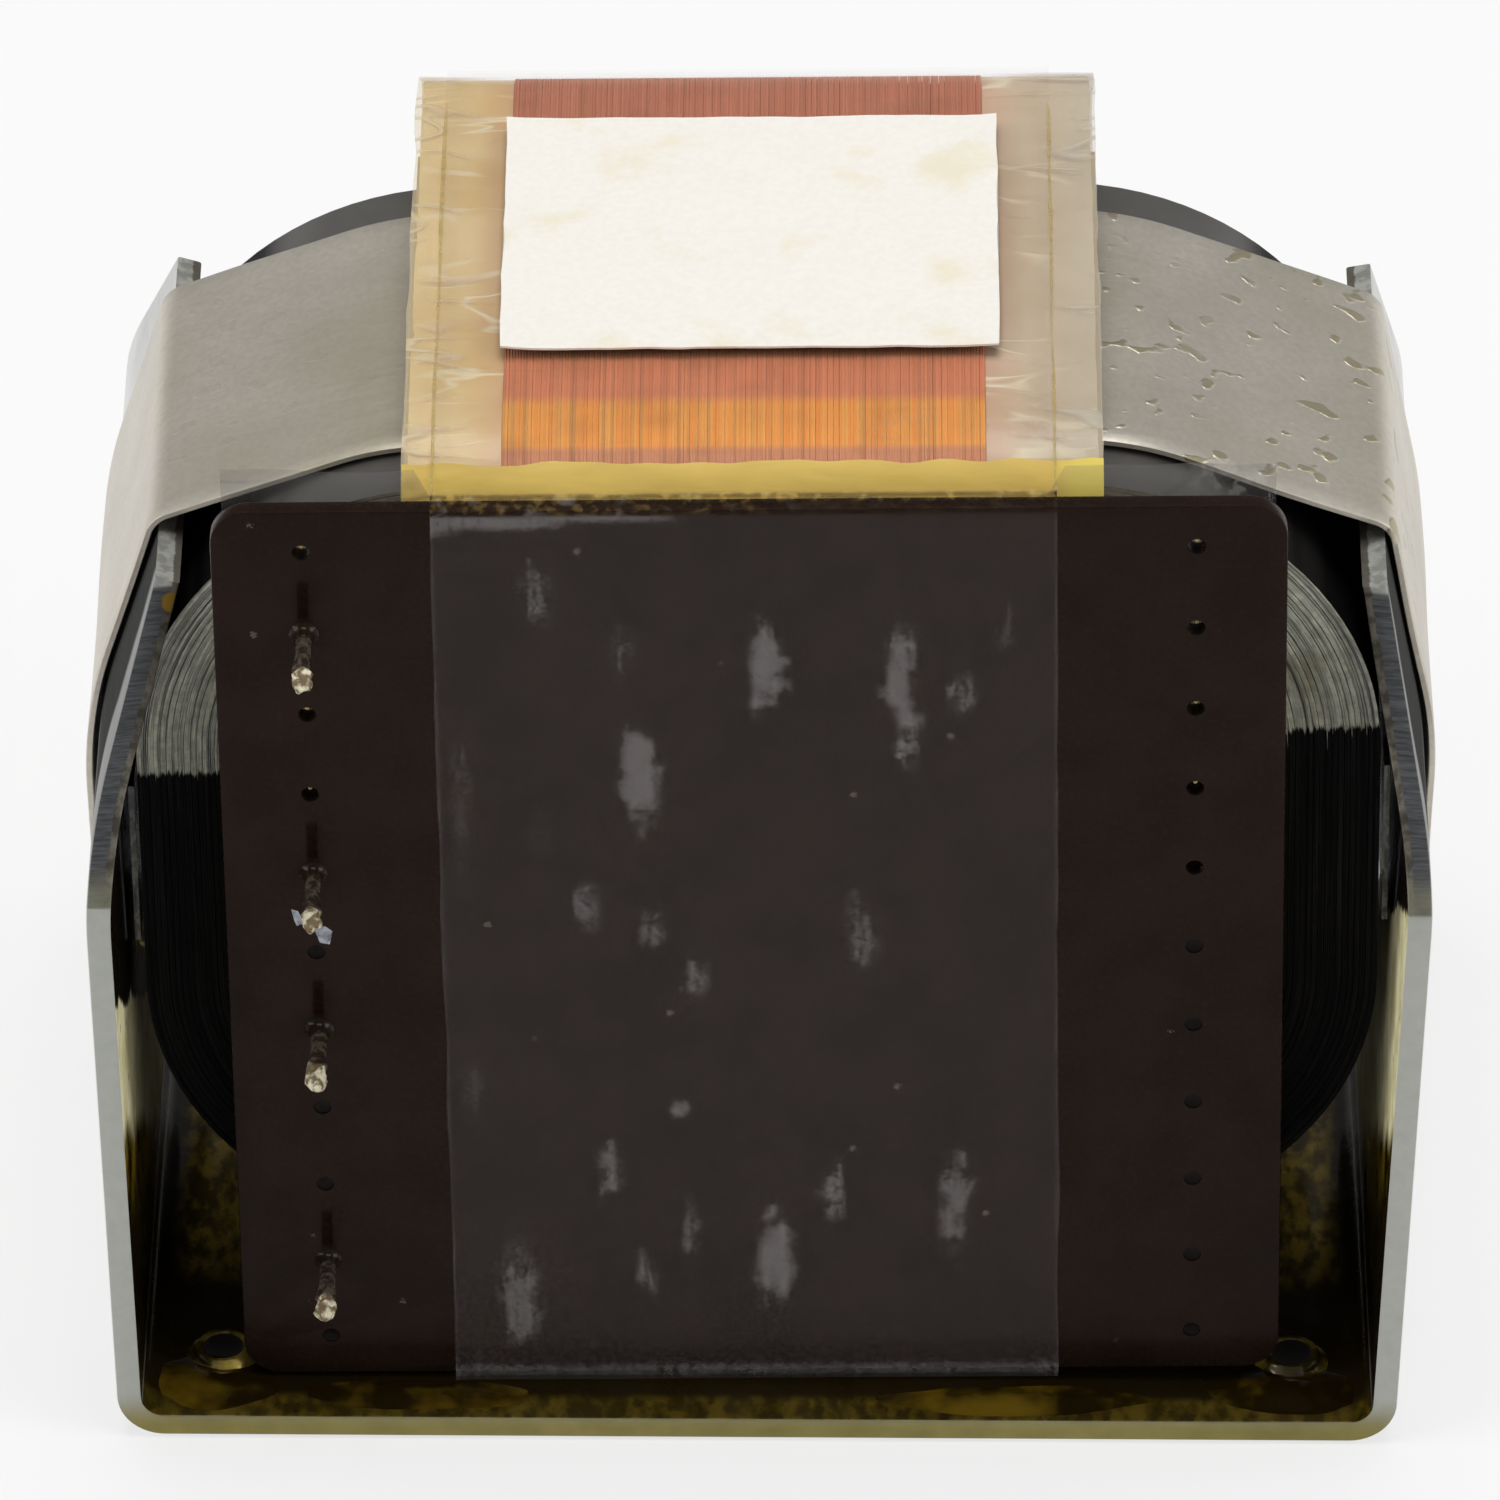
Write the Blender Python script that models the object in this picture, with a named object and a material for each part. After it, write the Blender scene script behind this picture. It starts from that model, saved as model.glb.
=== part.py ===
"""Two-coil choke inductor in a folded steel bracket.

A strip-wound C-core carries one coil on each horizontal leg. A steel band runs over the
core, inside the upper coil, and down the outside of the bracket's side plates. A terminal
board with solder pins stands in front of the coils, held by a clear tape round the lot.

Metres, +Z up. The origin is the middle of the bracket's underside, X runs to the right and
Y away from the terminal board. The wound parts share the frame of an empty at the middle
of the core, which sits slightly askew in the bracket.
"""

import math

import bmesh
import bpy
from mathutils import Matrix, Vector

MM = 0.001

# Folded bracket
SHEET = 1.3 * MM
BRACKET_DEPTH = 49.0 * MM
SIDE_CLEARANCE = 0.15 * MM
FOLD_INNER_RADIUS = 1.2 * MM
PLATE_SPLAY = math.radians(1.6)
PLATE_TOP_DROP = 5.39 * MM
PLATE_CURVE_RADIUS = 27.0 * MM
LEFT_LEAN = math.radians(17.0)
LEFT_CURVE_DROP = 16.45 * MM
RIGHT_LEAN = math.radians(11.5)
RIGHT_CURVE_DROP = 15.65 * MM
CHAMFER_DEPTH = 9.76 * MM
CHAMFER_HEIGHT = 14.2 * MM

# Drawn mounting holes in the bracket's floor
MOUNT_SIDE_DISTANCE = 5.45 * MM
MOUNT_END_DISTANCE = 5.2 * MM
MOUNT_BORE = 2.1 * MM
MOUNT_COLLAR = 3.0 * MM
MOUNT_COLLAR_HEIGHT = 0.7 * MM
MOUNT_LEAD_IN = 0.4 * MM
COLLAR_FLARE = 0.2 * MM
COLLAR_FLARE_HEIGHT = 0.3 * MM
COLLAR_TAPER = 0.15 * MM

# Strip-wound core, a loop in the XZ plane cut into two halves
CORE_TILT = math.radians(0.9)
CORE_HALF_WIDTH = 32.5 * MM
CORE_HALF_HEIGHT = 24.24 * MM
CORE_DEPTH = 28.06 * MM
CORE_BUILD = 14.0 * MM
CORE_INNER_RADIUS = 2.8 * MM
CORE_LAYERS = 9
LAYER_STEP = 0.1 * MM
GAP_SPACER = 0.4 * MM

# Clamp band
BAND_WIDTH = 21.4 * MM
BAND_THICKNESS = 0.35 * MM
BAND_BEND_RADIUS = 1.6 * MM
BAND_END_HEIGHT = 14.0 * MM

# Coils
COIL_END_GAP = 0.55 * MM
FORMER_WALL = 0.7 * MM
FORMER_SLACK_Y = 0.3 * MM
FORMER_SLACK_Z = 0.4 * MM
FORMER_CORNER = 0.6 * MM
LAYER_FILM_SETBACK = 0.2 * MM
LAYER_FILM_BASE = 0.2 * MM
COPPER_WIDTH = 24.8 * MM
COPPER_BUILD = 1.6 * MM
COPPER_OFFSET_X = -0.45 * MM
TURN_PITCH = 1.24 * MM
TURN_GROOVE = 0.12 * MM
WRAP_FILM = 0.2 * MM
FRONT_BULGE = 1.48 * MM
BACK_BULGE = 4.0 * MM

# Terminal board, with two columns of holes
BOARD_WING = 9.55 * MM
BOARD_TOP_DROP = 0.97 * MM
BOARD_OVERHANG = 0.36 * MM
BOARD_THICKNESS = 1.04 * MM
BOARD_FLOOR_GAP = 0.65 * MM
BOARD_CORNER = 2.0 * MM
BOARD_OFFSET_X = -0.2 * MM
HOLE_EDGE_DISTANCE = 4.64 * MM
HOLE_PITCH = 5.08 * MM
HOLES_PER_ROW = 11
HOLE_DIAMETER = 1.0 * MM
PIN_HOLE_DIAMETER = 1.4 * MM
PIN_POSITIONS = (2, 5, 7, 10)

# Solder pins and the leads behind the board
PIN_DIAMETER = 0.85 * MM
PIN_LENGTH_FRONT = 5.1 * MM
PIN_TIP_DIAMETER = 1.15 * MM
PIN_TIP_LENGTH = 1.6 * MM
PIN_TAIL = 2.0 * MM
LEAD_DIAMETER = 0.45 * MM
LEAD_SPREAD = 6.0 * MM
LEAD_STEM = 0.6 * MM

# Sheets between coils and board, tape round everything, label, side pads
FRONT_SHEET = 0.25 * MM
FRONT_SHEET_WRAP = math.radians(53)
CLEAR_SHEET = 0.12 * MM
CLEAR_SHEET_LEFT_INSET = 0.6 * MM
CLEAR_SHEET_RIGHT_INSET = 0.6 * MM
CLEAR_SHEET_RISE = 1.7 * MM
TAPE_WIDTH = 32.0 * MM
TAPE_THICKNESS = 0.15 * MM
TAPE_OFFSET_X = -0.45 * MM
LABEL_WIDTH = 25.8 * MM
LABEL_DEPTH = 21.6 * MM
LABEL_THICKNESS = 0.15 * MM
LABEL_CENTRE = (-0.2 * MM, 2.1 * MM)
PAD_THICKNESS = 0.3 * MM
PAD_HEIGHT = 10.0 * MM
PAD_DEPTH = 27.0 * MM
PAD_REACH = 2.6 * MM

# Clearances
SEAT_GAP = 0.25 * MM
FILM_GAP = 0.2 * MM
TAPE_GAP = 0.15 * MM
CUT_OVERRUN = 5.0 * MM

# Facets
FOLD_STEPS = 6
CURVE_STEPS = 6
CORNER_STEPS = 8
ROUND_STEPS = 3
CIRCLE_STEPS = 16
SMALL_CIRCLE_STEPS = 10

CORE_RADIUS = CORE_INNER_RADIUS + CORE_BUILD
ARC_CENTRE_X = CORE_HALF_WIDTH - CORE_RADIUS
ARC_CENTRE_Z = CORE_HALF_HEIGHT - CORE_RADIUS
BAND_OFFSET = FILM_GAP + BAND_THICKNESS / 2
WINDOW_HALF_HEIGHT = CORE_HALF_HEIGHT - CORE_BUILD
FORMER_LENGTH = 2 * (CORE_HALF_WIDTH - CORE_BUILD - COIL_END_GAP)
LAYER_FILM_WIDTH = FORMER_LENGTH - 2 * LAYER_FILM_SETBACK
CORNER_REACH = max(CORE_INNER_RADIUS - COIL_END_GAP, 0)
CORNER_RISE = CORE_INNER_RADIUS - math.sqrt(CORE_INNER_RADIUS**2 - CORNER_REACH**2)
WINDOW_SIDE_GAP = CORNER_RISE + SEAT_GAP
BAND_SIDE_GAP = FILM_GAP + BAND_THICKNESS + FILM_GAP + FORMER_SLACK_Z
FORMER_BORE_Z = CORE_BUILD + WINDOW_SIDE_GAP + BAND_SIDE_GAP
FORMER_BORE_Y = CORE_DEPTH + 2 * FORMER_SLACK_Y
UPPER_COIL_Z = WINDOW_HALF_HEIGHT - WINDOW_SIDE_GAP + FORMER_BORE_Z / 2
LOWER_COIL_Z = FORMER_BORE_Z / 2 - CORE_HALF_HEIGHT - SEAT_GAP
FILM_START = FORMER_WALL + FILM_GAP
COPPER_START = FILM_START + LAYER_FILM_BASE + FILM_GAP
COPPER_END = COPPER_START + COPPER_BUILD
WRAP_START = COPPER_END + FILM_GAP
WRAP_END = WRAP_START + WRAP_FILM
COIL_FRONT_Y = -FORMER_BORE_Y / 2 - WRAP_END - FRONT_BULGE
COIL_BACK_Y = FORMER_BORE_Y / 2 + WRAP_END + BACK_BULGE
COIL_CORNER = FORMER_CORNER + WRAP_END + FRONT_BULGE
COIL_TOP_Z = UPPER_COIL_Z + FORMER_BORE_Z / 2 + WRAP_END
COIL_BOTTOM_Z = LOWER_COIL_Z - FORMER_BORE_Z / 2 - WRAP_END
LEAD_Y = -FORMER_BORE_Y / 2 - (FILM_START + COPPER_END + FRONT_BULGE) / 2
SHEET_FRONT_Y = COIL_FRONT_Y - FILM_GAP - FRONT_SHEET
BOARD_BACK_Y = SHEET_FRONT_Y - FILM_GAP - CLEAR_SHEET - FILM_GAP
BOARD_FRONT_Y = BOARD_BACK_Y - BOARD_THICKNESS
BOARD_WIDTH = FORMER_LENGTH + 2 * BOARD_WING
HOLE_ROW_SPACING = BOARD_WIDTH - 2 * HOLE_EDGE_DISTANCE
BOARD_TOP = COIL_TOP_Z - BOARD_TOP_DROP
BOARD_BOTTOM = COIL_BOTTOM_Z - BOARD_OVERHANG
HOLE_CENTRE_Z = (BOARD_TOP + BOARD_BOTTOM) / 2
CORE_CENTRE_Z = SHEET + BOARD_FLOOR_GAP - BOARD_BOTTOM
BASE_HALF_WIDTH = CORE_HALF_WIDTH + SIDE_CLEARANCE + SHEET
PLATE_TOP = CORE_CENTRE_Z + CORE_HALF_HEIGHT - PLATE_TOP_DROP
LEFT_CURVE_START = PLATE_TOP - LEFT_CURVE_DROP
RIGHT_CURVE_START = PLATE_TOP - RIGHT_CURVE_DROP
CHAMFER_START = PLATE_TOP - CHAMFER_HEIGHT
MOUNT_HOLE_X = BASE_HALF_WIDTH - MOUNT_SIDE_DISTANCE
MOUNT_HOLE_Y = BRACKET_DEPTH / 2 - MOUNT_END_DISTANCE


def clear_scene():
    """Start from an empty scene."""
    for old in list(bpy.data.objects):
        bpy.data.objects.remove(old, do_unlink=True)


def make_material(name, colour, roughness, metallic=0.0):
    """Return a Principled material for one kind of surface."""
    material = bpy.data.materials.new(name)
    material.use_nodes = True
    shader = material.node_tree.nodes["Principled BSDF"]
    shader.inputs["Base Color"].default_value = (*colour, 1.0)
    shader.inputs["Roughness"].default_value = roughness
    shader.inputs["Metallic"].default_value = metallic
    material.diffuse_color = (*colour, 1.0)
    return material


def finish_mesh(name, mesh, material, parent):
    """Turn every face outwards and put the mesh in the scene as one object."""
    shape = bmesh.new()
    shape.from_mesh(mesh)
    bmesh.ops.recalc_face_normals(shape, faces=shape.faces)
    shape.to_mesh(mesh)
    shape.free()
    piece = bpy.data.objects.new(name, mesh)
    piece.data.materials.append(material)
    piece.parent = parent
    bpy.context.scene.collection.objects.link(piece)
    return piece


def loft(name, loops, material, parent=None, ring=False):
    """Skin equal closed loops of points; a ring joins its last loop to its first."""
    size = len(loops[0])
    points = [point for loop in loops for point in loop]
    faces = []
    for i in range(len(loops) if ring else len(loops) - 1):
        a = i * size
        b = (i + 1) % len(loops) * size
        for j in range(size):
            k = (j + 1) % size
            faces.append((a + j, a + k, b + k, b + j))
    if not ring:
        faces.append(tuple(range(size)))
        faces.append(tuple(range(len(points) - size, len(points))))
    mesh = bpy.data.meshes.new(name)
    mesh.from_pydata(points, [], faces)
    return finish_mesh(name, mesh, material, parent)


def arc(centre, radius, start, end, steps):
    """Points on a circle in a plane, from one angle to another, both included."""
    angles = [start + (end - start) * i / steps for i in range(steps + 1)]
    return [centre + radius * Vector((math.cos(a), math.sin(a))) for a in angles]


def rounded_rectangle(half_y, half_z, radius, steps):
    """Corner-rounded rectangle in the YZ plane, as (y, z) points."""
    points = []
    for turn, (sy, sz) in enumerate(((1, 1), (-1, 1), (-1, -1), (1, -1))):
        corner = Vector((sy * (half_y - radius), sz * (half_z - radius)))
        start = turn * math.pi / 2
        points += arc(corner, radius, start, start + math.pi / 2, steps)
    return points


def extrude_xz(name, outline, depth, material, parent=None):
    """Extrude an (x, z) outline along Y, centred on Y = 0."""
    loops = [[(x, y, z) for x, z in outline] for y in (-depth / 2, depth / 2)]
    return loft(name, loops, material, parent)


def extrude_yz(name, outline, start_x, end_x, material, parent=None):
    """Extrude a (y, z) outline along X."""
    loops = [[(x, y, z) for y, z in outline] for x in (start_x, end_x)]
    return loft(name, loops, material, parent)


def strip_outline(centre_line, thickness):
    """Outline of a strip of even thickness along an open line."""
    sides = ([], [])
    last = len(centre_line) - 1
    for i, point in enumerate(centre_line):
        before = (point - centre_line[max(i - 1, 0)]).normalized() if i > 0 else None
        after = (centre_line[min(i + 1, last)] - point).normalized() if i < last else None
        ahead = before or after
        behind = after or before
        mean = (ahead + behind).normalized()
        reach = thickness / 2 / max(mean.dot(ahead), 0.2)
        normal = Vector((-mean.y, mean.x))
        sides[0].append(point + normal * reach)
        sides[1].append(point - normal * reach)
    return sides[0] + sides[1][::-1]


def coil_ring(name, profile, centre_z, material, parent):
    """Sweep a closed (x, height) profile round the former's bore, height counted outwards.

    The copper is wound slack on the short sides, so it bulges in front and at the back.
    """
    loops = []
    for x, height in profile:
        slack = min(max((height - COPPER_START) / COPPER_BUILD, 0), 1)
        front = FORMER_BORE_Y / 2 + height + slack * FRONT_BULGE
        back = FORMER_BORE_Y / 2 + height + slack * BACK_BULGE
        half_z = FORMER_BORE_Z / 2 + height
        corner = FORMER_CORNER + height + slack * FRONT_BULGE
        outline = rounded_rectangle((front + back) / 2, half_z, corner, ROUND_STEPS)
        shift = (back - front) / 2
        loops.append([(x, y + shift, centre_z + z) for y, z in outline])
    return loft(name, loops, material, parent, ring=True)


def cut(target, cutter, operation="DIFFERENCE"):
    """Cut one object from another, or join it, with an exact Boolean."""
    cutter.hide_render = True
    cutter.display_type = "WIRE"
    modifier = target.modifiers.new(cutter.name, "BOOLEAN")
    modifier.operation = operation
    modifier.solver = "EXACT"
    modifier.object = cutter


def turned(name, profile, places, axis, steps, material, parent=None):
    """Turn one (radius, distance) profile about an axis, once at each place."""
    turn = Vector((0, 0, 1)).rotation_difference(axis).to_matrix().to_4x4()
    points = []
    faces = []
    for place in places:
        frame = Matrix.Translation(place) @ turn
        first = len(points)
        for radius, distance in profile:
            for i in range(steps):
                angle = 2 * math.pi * (i + 0.5) / steps
                spot = Vector((radius * math.cos(angle), radius * math.sin(angle), distance))
                points.append(frame @ spot)
        for ring in range(len(profile) - 1):
            a = first + ring * steps
            b = a + steps
            for i in range(steps):
                k = (i + 1) % steps
                faces.append((a + i, a + k, b + k, b + i))
        faces.append(tuple(range(first, first + steps)))
        faces.append(tuple(range(len(points) - steps, len(points))))
    mesh = bpy.data.meshes.new(name)
    mesh.from_pydata(points, [], faces)
    return finish_mesh(name, mesh, material, parent)


def plate_line(lean, curve_start):
    """Centre line of half the bracket, from the floor's middle up the right-hand plate."""
    fold_radius = FOLD_INNER_RADIUS + SHEET / 2
    fold_centre = Vector((BASE_HALF_WIDTH - SHEET / 2 - fold_radius, SHEET / 2 + fold_radius))
    line = [Vector((0, SHEET / 2))]
    line += arc(fold_centre, fold_radius, -math.pi / 2, -PLATE_SPLAY, FOLD_STEPS)
    up = Vector((math.sin(PLATE_SPLAY), math.cos(PLATE_SPLAY)))
    foot = line[-1]
    curve_foot = foot + up * (curve_start - foot.y) / up.y
    curve_centre = curve_foot - Vector((math.cos(PLATE_SPLAY), -math.sin(PLATE_SPLAY))) * PLATE_CURVE_RADIUS
    line += arc(curve_centre, PLATE_CURVE_RADIUS, -PLATE_SPLAY, lean, CURVE_STEPS)
    rise = Vector((-math.sin(lean), math.cos(lean)))
    outer = line[-1] + Vector((math.cos(lean), math.sin(lean))) * SHEET / 2
    line.append(line[-1] + rise * (PLATE_TOP - outer.y) / rise.y)
    return line


def mirrored(points):
    """Mirror (x, z) points to the other side."""
    return [Vector((-p.x, p.y)) for p in points]


def make_bracket(material):
    """Folded sheet: floor, two leaning side plates with cut corners, drawn holes."""
    left = mirrored(plate_line(LEFT_LEAN, LEFT_CURVE_START))
    right = plate_line(RIGHT_LEAN, RIGHT_CURVE_START)
    outline = strip_outline(left[::-1] + right[1:], SHEET)
    bracket = extrude_xz("bracket", outline, BRACKET_DEPTH, material)

    overrun = CUT_OVERRUN
    rise = overrun * CHAMFER_HEIGHT / CHAMFER_DEPTH
    edge = BRACKET_DEPTH / 2
    corner = [
        Vector((-edge - overrun, CHAMFER_START - rise)),
        Vector((CHAMFER_DEPTH - edge + overrun, PLATE_TOP + rise)),
        Vector((-edge - overrun, PLATE_TOP + rise)),
    ]
    reach = BASE_HALF_WIDTH + overrun
    cut(bracket, extrude_yz("front_corner_cutter", corner, -reach, reach, material))
    cut(bracket, extrude_yz("back_corner_cutter", mirrored(corner), -reach, reach, material))

    places = [(sx * MOUNT_HOLE_X, sy * MOUNT_HOLE_Y, 0) for sx in (-1, 1) for sy in (-1, 1)]
    up = Vector((0, 0, 1))
    collar_top = SHEET + MOUNT_COLLAR_HEIGHT
    half = MOUNT_COLLAR / 2
    collar = [(half + COLLAR_FLARE, SHEET / 2), (half, SHEET + COLLAR_FLARE_HEIGHT)]
    collar.append((half - COLLAR_TAPER, collar_top))
    cut(bracket, turned("collar_blanks", collar, places, up, CIRCLE_STEPS, material), "UNION")
    bore = MOUNT_BORE / 2
    hole = [(bore + 2 * MOUNT_LEAD_IN, -MOUNT_LEAD_IN), (bore, MOUNT_LEAD_IN)]
    hole.append((bore, collar_top + CUT_OVERRUN))
    cut(bracket, turned("bore_cutters", hole, places, up, CIRCLE_STEPS, material))
    return bracket


def band_half(lean, curve_start, tilt):
    """Centre line of half the band, from the core's top to its end beside the plate."""
    cos_t = math.cos(tilt)
    sin_t = math.sin(tilt)
    top = CORE_HALF_HEIGHT + BAND_OFFSET
    start = Vector((-top * sin_t, CORE_CENTRE_Z + top * cos_t))
    core_centre = Vector(
        (
            ARC_CENTRE_X * cos_t - ARC_CENTRE_Z * sin_t,
            CORE_CENTRE_Z + ARC_CENTRE_X * sin_t + ARC_CENTRE_Z * cos_t,
        )
    )
    core_radius = CORE_RADIUS + BAND_OFFSET

    plate = plate_line(lean, curve_start)
    outward = Vector((math.cos(lean), math.sin(lean)))
    down = Vector((math.sin(lean), -math.cos(lean)))
    beside = SEAT_GAP + BAND_THICKNESS / 2
    inset = BAND_BEND_RADIUS - beside
    drop = math.sqrt((BAND_BEND_RADIUS - BAND_THICKNESS / 2 - FILM_GAP) ** 2 - inset**2)
    bend_centre = plate[-1] + outward * (SHEET / 2 - inset) + down * drop

    span = bend_centre - core_centre
    swing = math.acos((core_radius - BAND_BEND_RADIUS) / span.length)
    leave = math.atan2(span.y, span.x) + swing

    line = [start]
    line += arc(core_centre, core_radius, math.pi / 2 + tilt, leave, CORNER_STEPS // 2)
    line += arc(bend_centre, BAND_BEND_RADIUS, leave, lean, FOLD_STEPS)
    offset = SHEET / 2 + beside
    curve_end = plate[-2] + outward * offset
    curve_first = plate[-2 - CURVE_STEPS]
    side = Vector((math.cos(PLATE_SPLAY), -math.sin(PLATE_SPLAY)))
    curve_centre = curve_first - side * PLATE_CURVE_RADIUS
    line += arc(curve_centre, (curve_end - curve_centre).length, lean, -PLATE_SPLAY, CURVE_STEPS)
    fall = Vector((-math.sin(PLATE_SPLAY), -math.cos(PLATE_SPLAY)))
    line.append(line[-1] + fall * (line[-1].y - BAND_END_HEIGHT) / -fall.y)
    return line


def make_band(material):
    """Thin strip over the core's top, bent over both plates and down their outside."""
    right = band_half(RIGHT_LEAN, RIGHT_CURVE_START, CORE_TILT)
    left = mirrored(band_half(LEFT_LEAN, LEFT_CURVE_START, -CORE_TILT))
    outline = strip_outline(left[::-1] + right[1:], BAND_THICKNESS)
    return extrude_xz("clamp_band", outline, BAND_WIDTH, material)


def make_core_half(name, side, material, parent):
    """One C of wound strip: the layers' edges stand out in turn on both faces."""
    face = CORE_DEPTH / 2
    layer = CORE_BUILD / CORE_LAYERS
    edges = [(i * layer, face - (i % 2) * LAYER_STEP) for i in range(CORE_LAYERS)]
    steps = [(depth + rise, y) for depth, y in edges for rise in (0, layer)]
    section = [(depth, -y) for depth, y in steps] + [(depth, y) for depth, y in steps[::-1]]
    upper = Vector((ARC_CENTRE_X, ARC_CENTRE_Z))
    lower = Vector((ARC_CENTRE_X, -ARC_CENTRE_Z))
    cut_x = GAP_SPACER / 2 + TAPE_GAP

    loops = []
    for centre, start in ((upper, math.pi / 2), (lower, 0)):
        for i in range(CORNER_STEPS + 1):
            angle = start - math.pi / 2 * i / CORNER_STEPS
            out = Vector((math.cos(angle), math.sin(angle)))
            loop = []
            for depth, y in section:
                spot = centre + out * (CORE_RADIUS - depth)
                loop.append((side * spot.x, y, spot.y))
            loops.append(loop)
    first = [(side * cut_x, y, z) for x, y, z in loops[0]]
    last = [(side * cut_x, y, z) for x, y, z in loops[-1]]
    return loft(name, [first] + loops + [last], material, parent)


def make_box(name, low, high, material, parent):
    """Plain block between two corners."""
    outline = [(low[1], low[2]), (high[1], low[2]), (high[1], high[2]), (low[1], high[2])]
    return extrude_yz(name, outline, low[0], high[0], material, parent)


def make_gap_spacer(name, level, material, parent):
    """Thin insulating sheet that sets the magnetic gap between the two core halves."""
    half_y = CORE_DEPTH / 2
    low = (-GAP_SPACER / 2, -half_y, level - CORE_BUILD / 2)
    high = (GAP_SPACER / 2, half_y, level + CORE_BUILD / 2)
    return make_box(name, low, high, material, parent)


def make_coil(which, centre_z, materials, parent):
    """Former, layer films, copper and outer film of one coil, each inside the next."""
    half = FORMER_LENGTH / 2
    former = [(-half, 0), (half, 0), (half, FORMER_WALL), (-half, FORMER_WALL)]
    coil_ring(f"coil_former_{which}", former, centre_z, materials["former"], parent)

    half = LAYER_FILM_WIDTH / 2
    first = COPPER_OFFSET_X - COPPER_WIDTH / 2
    last = COPPER_OFFSET_X + COPPER_WIDTH / 2
    base = FILM_START + LAYER_FILM_BASE
    film = [(-half, FILM_START), (half, FILM_START), (half, COPPER_END), (last + FILM_GAP, COPPER_END)]
    film += [(last + FILM_GAP, base), (first - FILM_GAP, base)]
    film += [(first - FILM_GAP, COPPER_END), (-half, COPPER_END)]
    coil_ring(f"layer_films_{which}", film, centre_z, materials["film"], parent)

    turns = round(COPPER_WIDTH / TURN_PITCH)
    pitch = COPPER_WIDTH / turns
    copper = [(first, COPPER_START)]
    for turn in range(turns):
        copper.append((first + pitch * turn, COPPER_END - TURN_GROOVE))
        copper.append((first + pitch * (turn + 0.5), COPPER_END))
    copper += [(last, COPPER_END - TURN_GROOVE), (last, COPPER_START)]
    coil_ring(f"copper_winding_{which}", copper, centre_z, materials["copper"], parent)

    half = FORMER_LENGTH / 2
    wrap = [(-half, WRAP_START), (half, WRAP_START), (half, WRAP_END), (-half, WRAP_END)]
    coil_ring(f"outer_film_{which}", wrap, centre_z, materials["film"], parent)


def hole_place(column, number):
    """Centre of a board hole: column -1 or 1, number counted from the top."""
    x = BOARD_OFFSET_X + column * HOLE_ROW_SPACING / 2
    z = HOLE_CENTRE_Z + ((HOLES_PER_ROW + 1) / 2 - number) * HOLE_PITCH
    return Vector((x, BOARD_FRONT_Y, z))


def make_board(material, parent):
    """Flat board with rounded corners and two columns of holes."""
    half_x = BOARD_WIDTH / 2
    half_z = (BOARD_TOP - BOARD_BOTTOM) / 2
    middle = Vector((BOARD_OFFSET_X, (BOARD_TOP + BOARD_BOTTOM) / 2))
    outline = [middle + p for p in rounded_rectangle(half_x, half_z, BOARD_CORNER, ROUND_STEPS * 2)]
    loops = [[(x, y, z) for x, z in outline] for y in (BOARD_FRONT_Y, BOARD_BACK_Y)]
    board = loft("terminal_board", loops, material, parent)

    back = Vector((0, 1, 0))
    empty = []
    filled = []
    for column in (-1, 1):
        for number in range(1, HOLES_PER_ROW + 1):
            pinned = column < 0 and number in PIN_POSITIONS
            (filled if pinned else empty).append(hole_place(column, number))
    for name, places, size in (
        ("empty_holes", empty, HOLE_DIAMETER),
        ("pin_holes", filled, PIN_HOLE_DIAMETER),
    ):
        bore = [(size / 2, -CUT_OVERRUN), (size / 2, BOARD_THICKNESS + CUT_OVERRUN)]
        cut(board, turned(name, bore, places, back, SMALL_CIRCLE_STEPS, material, parent))
    return board


def make_pin(index, number, material, parent):
    """Round pin through the board, with a pointed solder bead on its front end."""
    shank = PIN_DIAMETER / 2
    bead = PIN_TIP_DIAMETER / 2
    bead_start = PIN_LENGTH_FRONT - PIN_TIP_LENGTH
    profile = [
        (shank, -BOARD_THICKNESS - PIN_TAIL),
        (shank, bead_start),
        (bead, bead_start + 0.25 * PIN_TIP_LENGTH),
        (bead, bead_start + 0.5 * PIN_TIP_LENGTH),
        (0.12 * bead, PIN_LENGTH_FRONT),
    ]
    front = Vector((0, -1, 0))
    place = hole_place(-1, number)
    return turned(f"pin_{index}", profile, [place], front, SMALL_CIRCLE_STEPS, material, parent)


def make_lead(index, number, entry_z, material, parent):
    """Thin wire from a pin's tail to the end of the coil's layer films."""
    pin = hole_place(-1, number)
    start_x = pin.x + PIN_DIAMETER / 2 + FILM_GAP
    end_x = -LAYER_FILM_WIDTH / 2 - FILM_GAP
    start_y = BOARD_BACK_Y + PIN_TAIL / 2
    route = [
        Vector((start_x, start_y, pin.z)),
        Vector((start_x + LEAD_STEM, start_y, pin.z)),
        Vector(((start_x + end_x) / 2, (start_y + LEAD_Y) / 2, (pin.z + entry_z) / 2)),
        Vector((end_x - LEAD_STEM, LEAD_Y, entry_z)),
        Vector((end_x, LEAD_Y, entry_z)),
    ]
    side_a = Vector((0, 1, 0))
    loops = []
    for i, point in enumerate(route):
        ahead = (route[min(i + 1, len(route) - 1)] - route[max(i - 1, 0)]).normalized()
        side_b = ahead.cross(side_a).normalized()
        across = side_b.cross(ahead)
        loop = []
        for j in range(SMALL_CIRCLE_STEPS):
            angle = 2 * math.pi * j / SMALL_CIRCLE_STEPS
            loop.append(point + (across * math.cos(angle) + side_b * math.sin(angle)) * LEAD_DIAMETER / 2)
        loops.append(loop)
    return loft(f"lead_wire_{index}", loops, material, parent)


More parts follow.
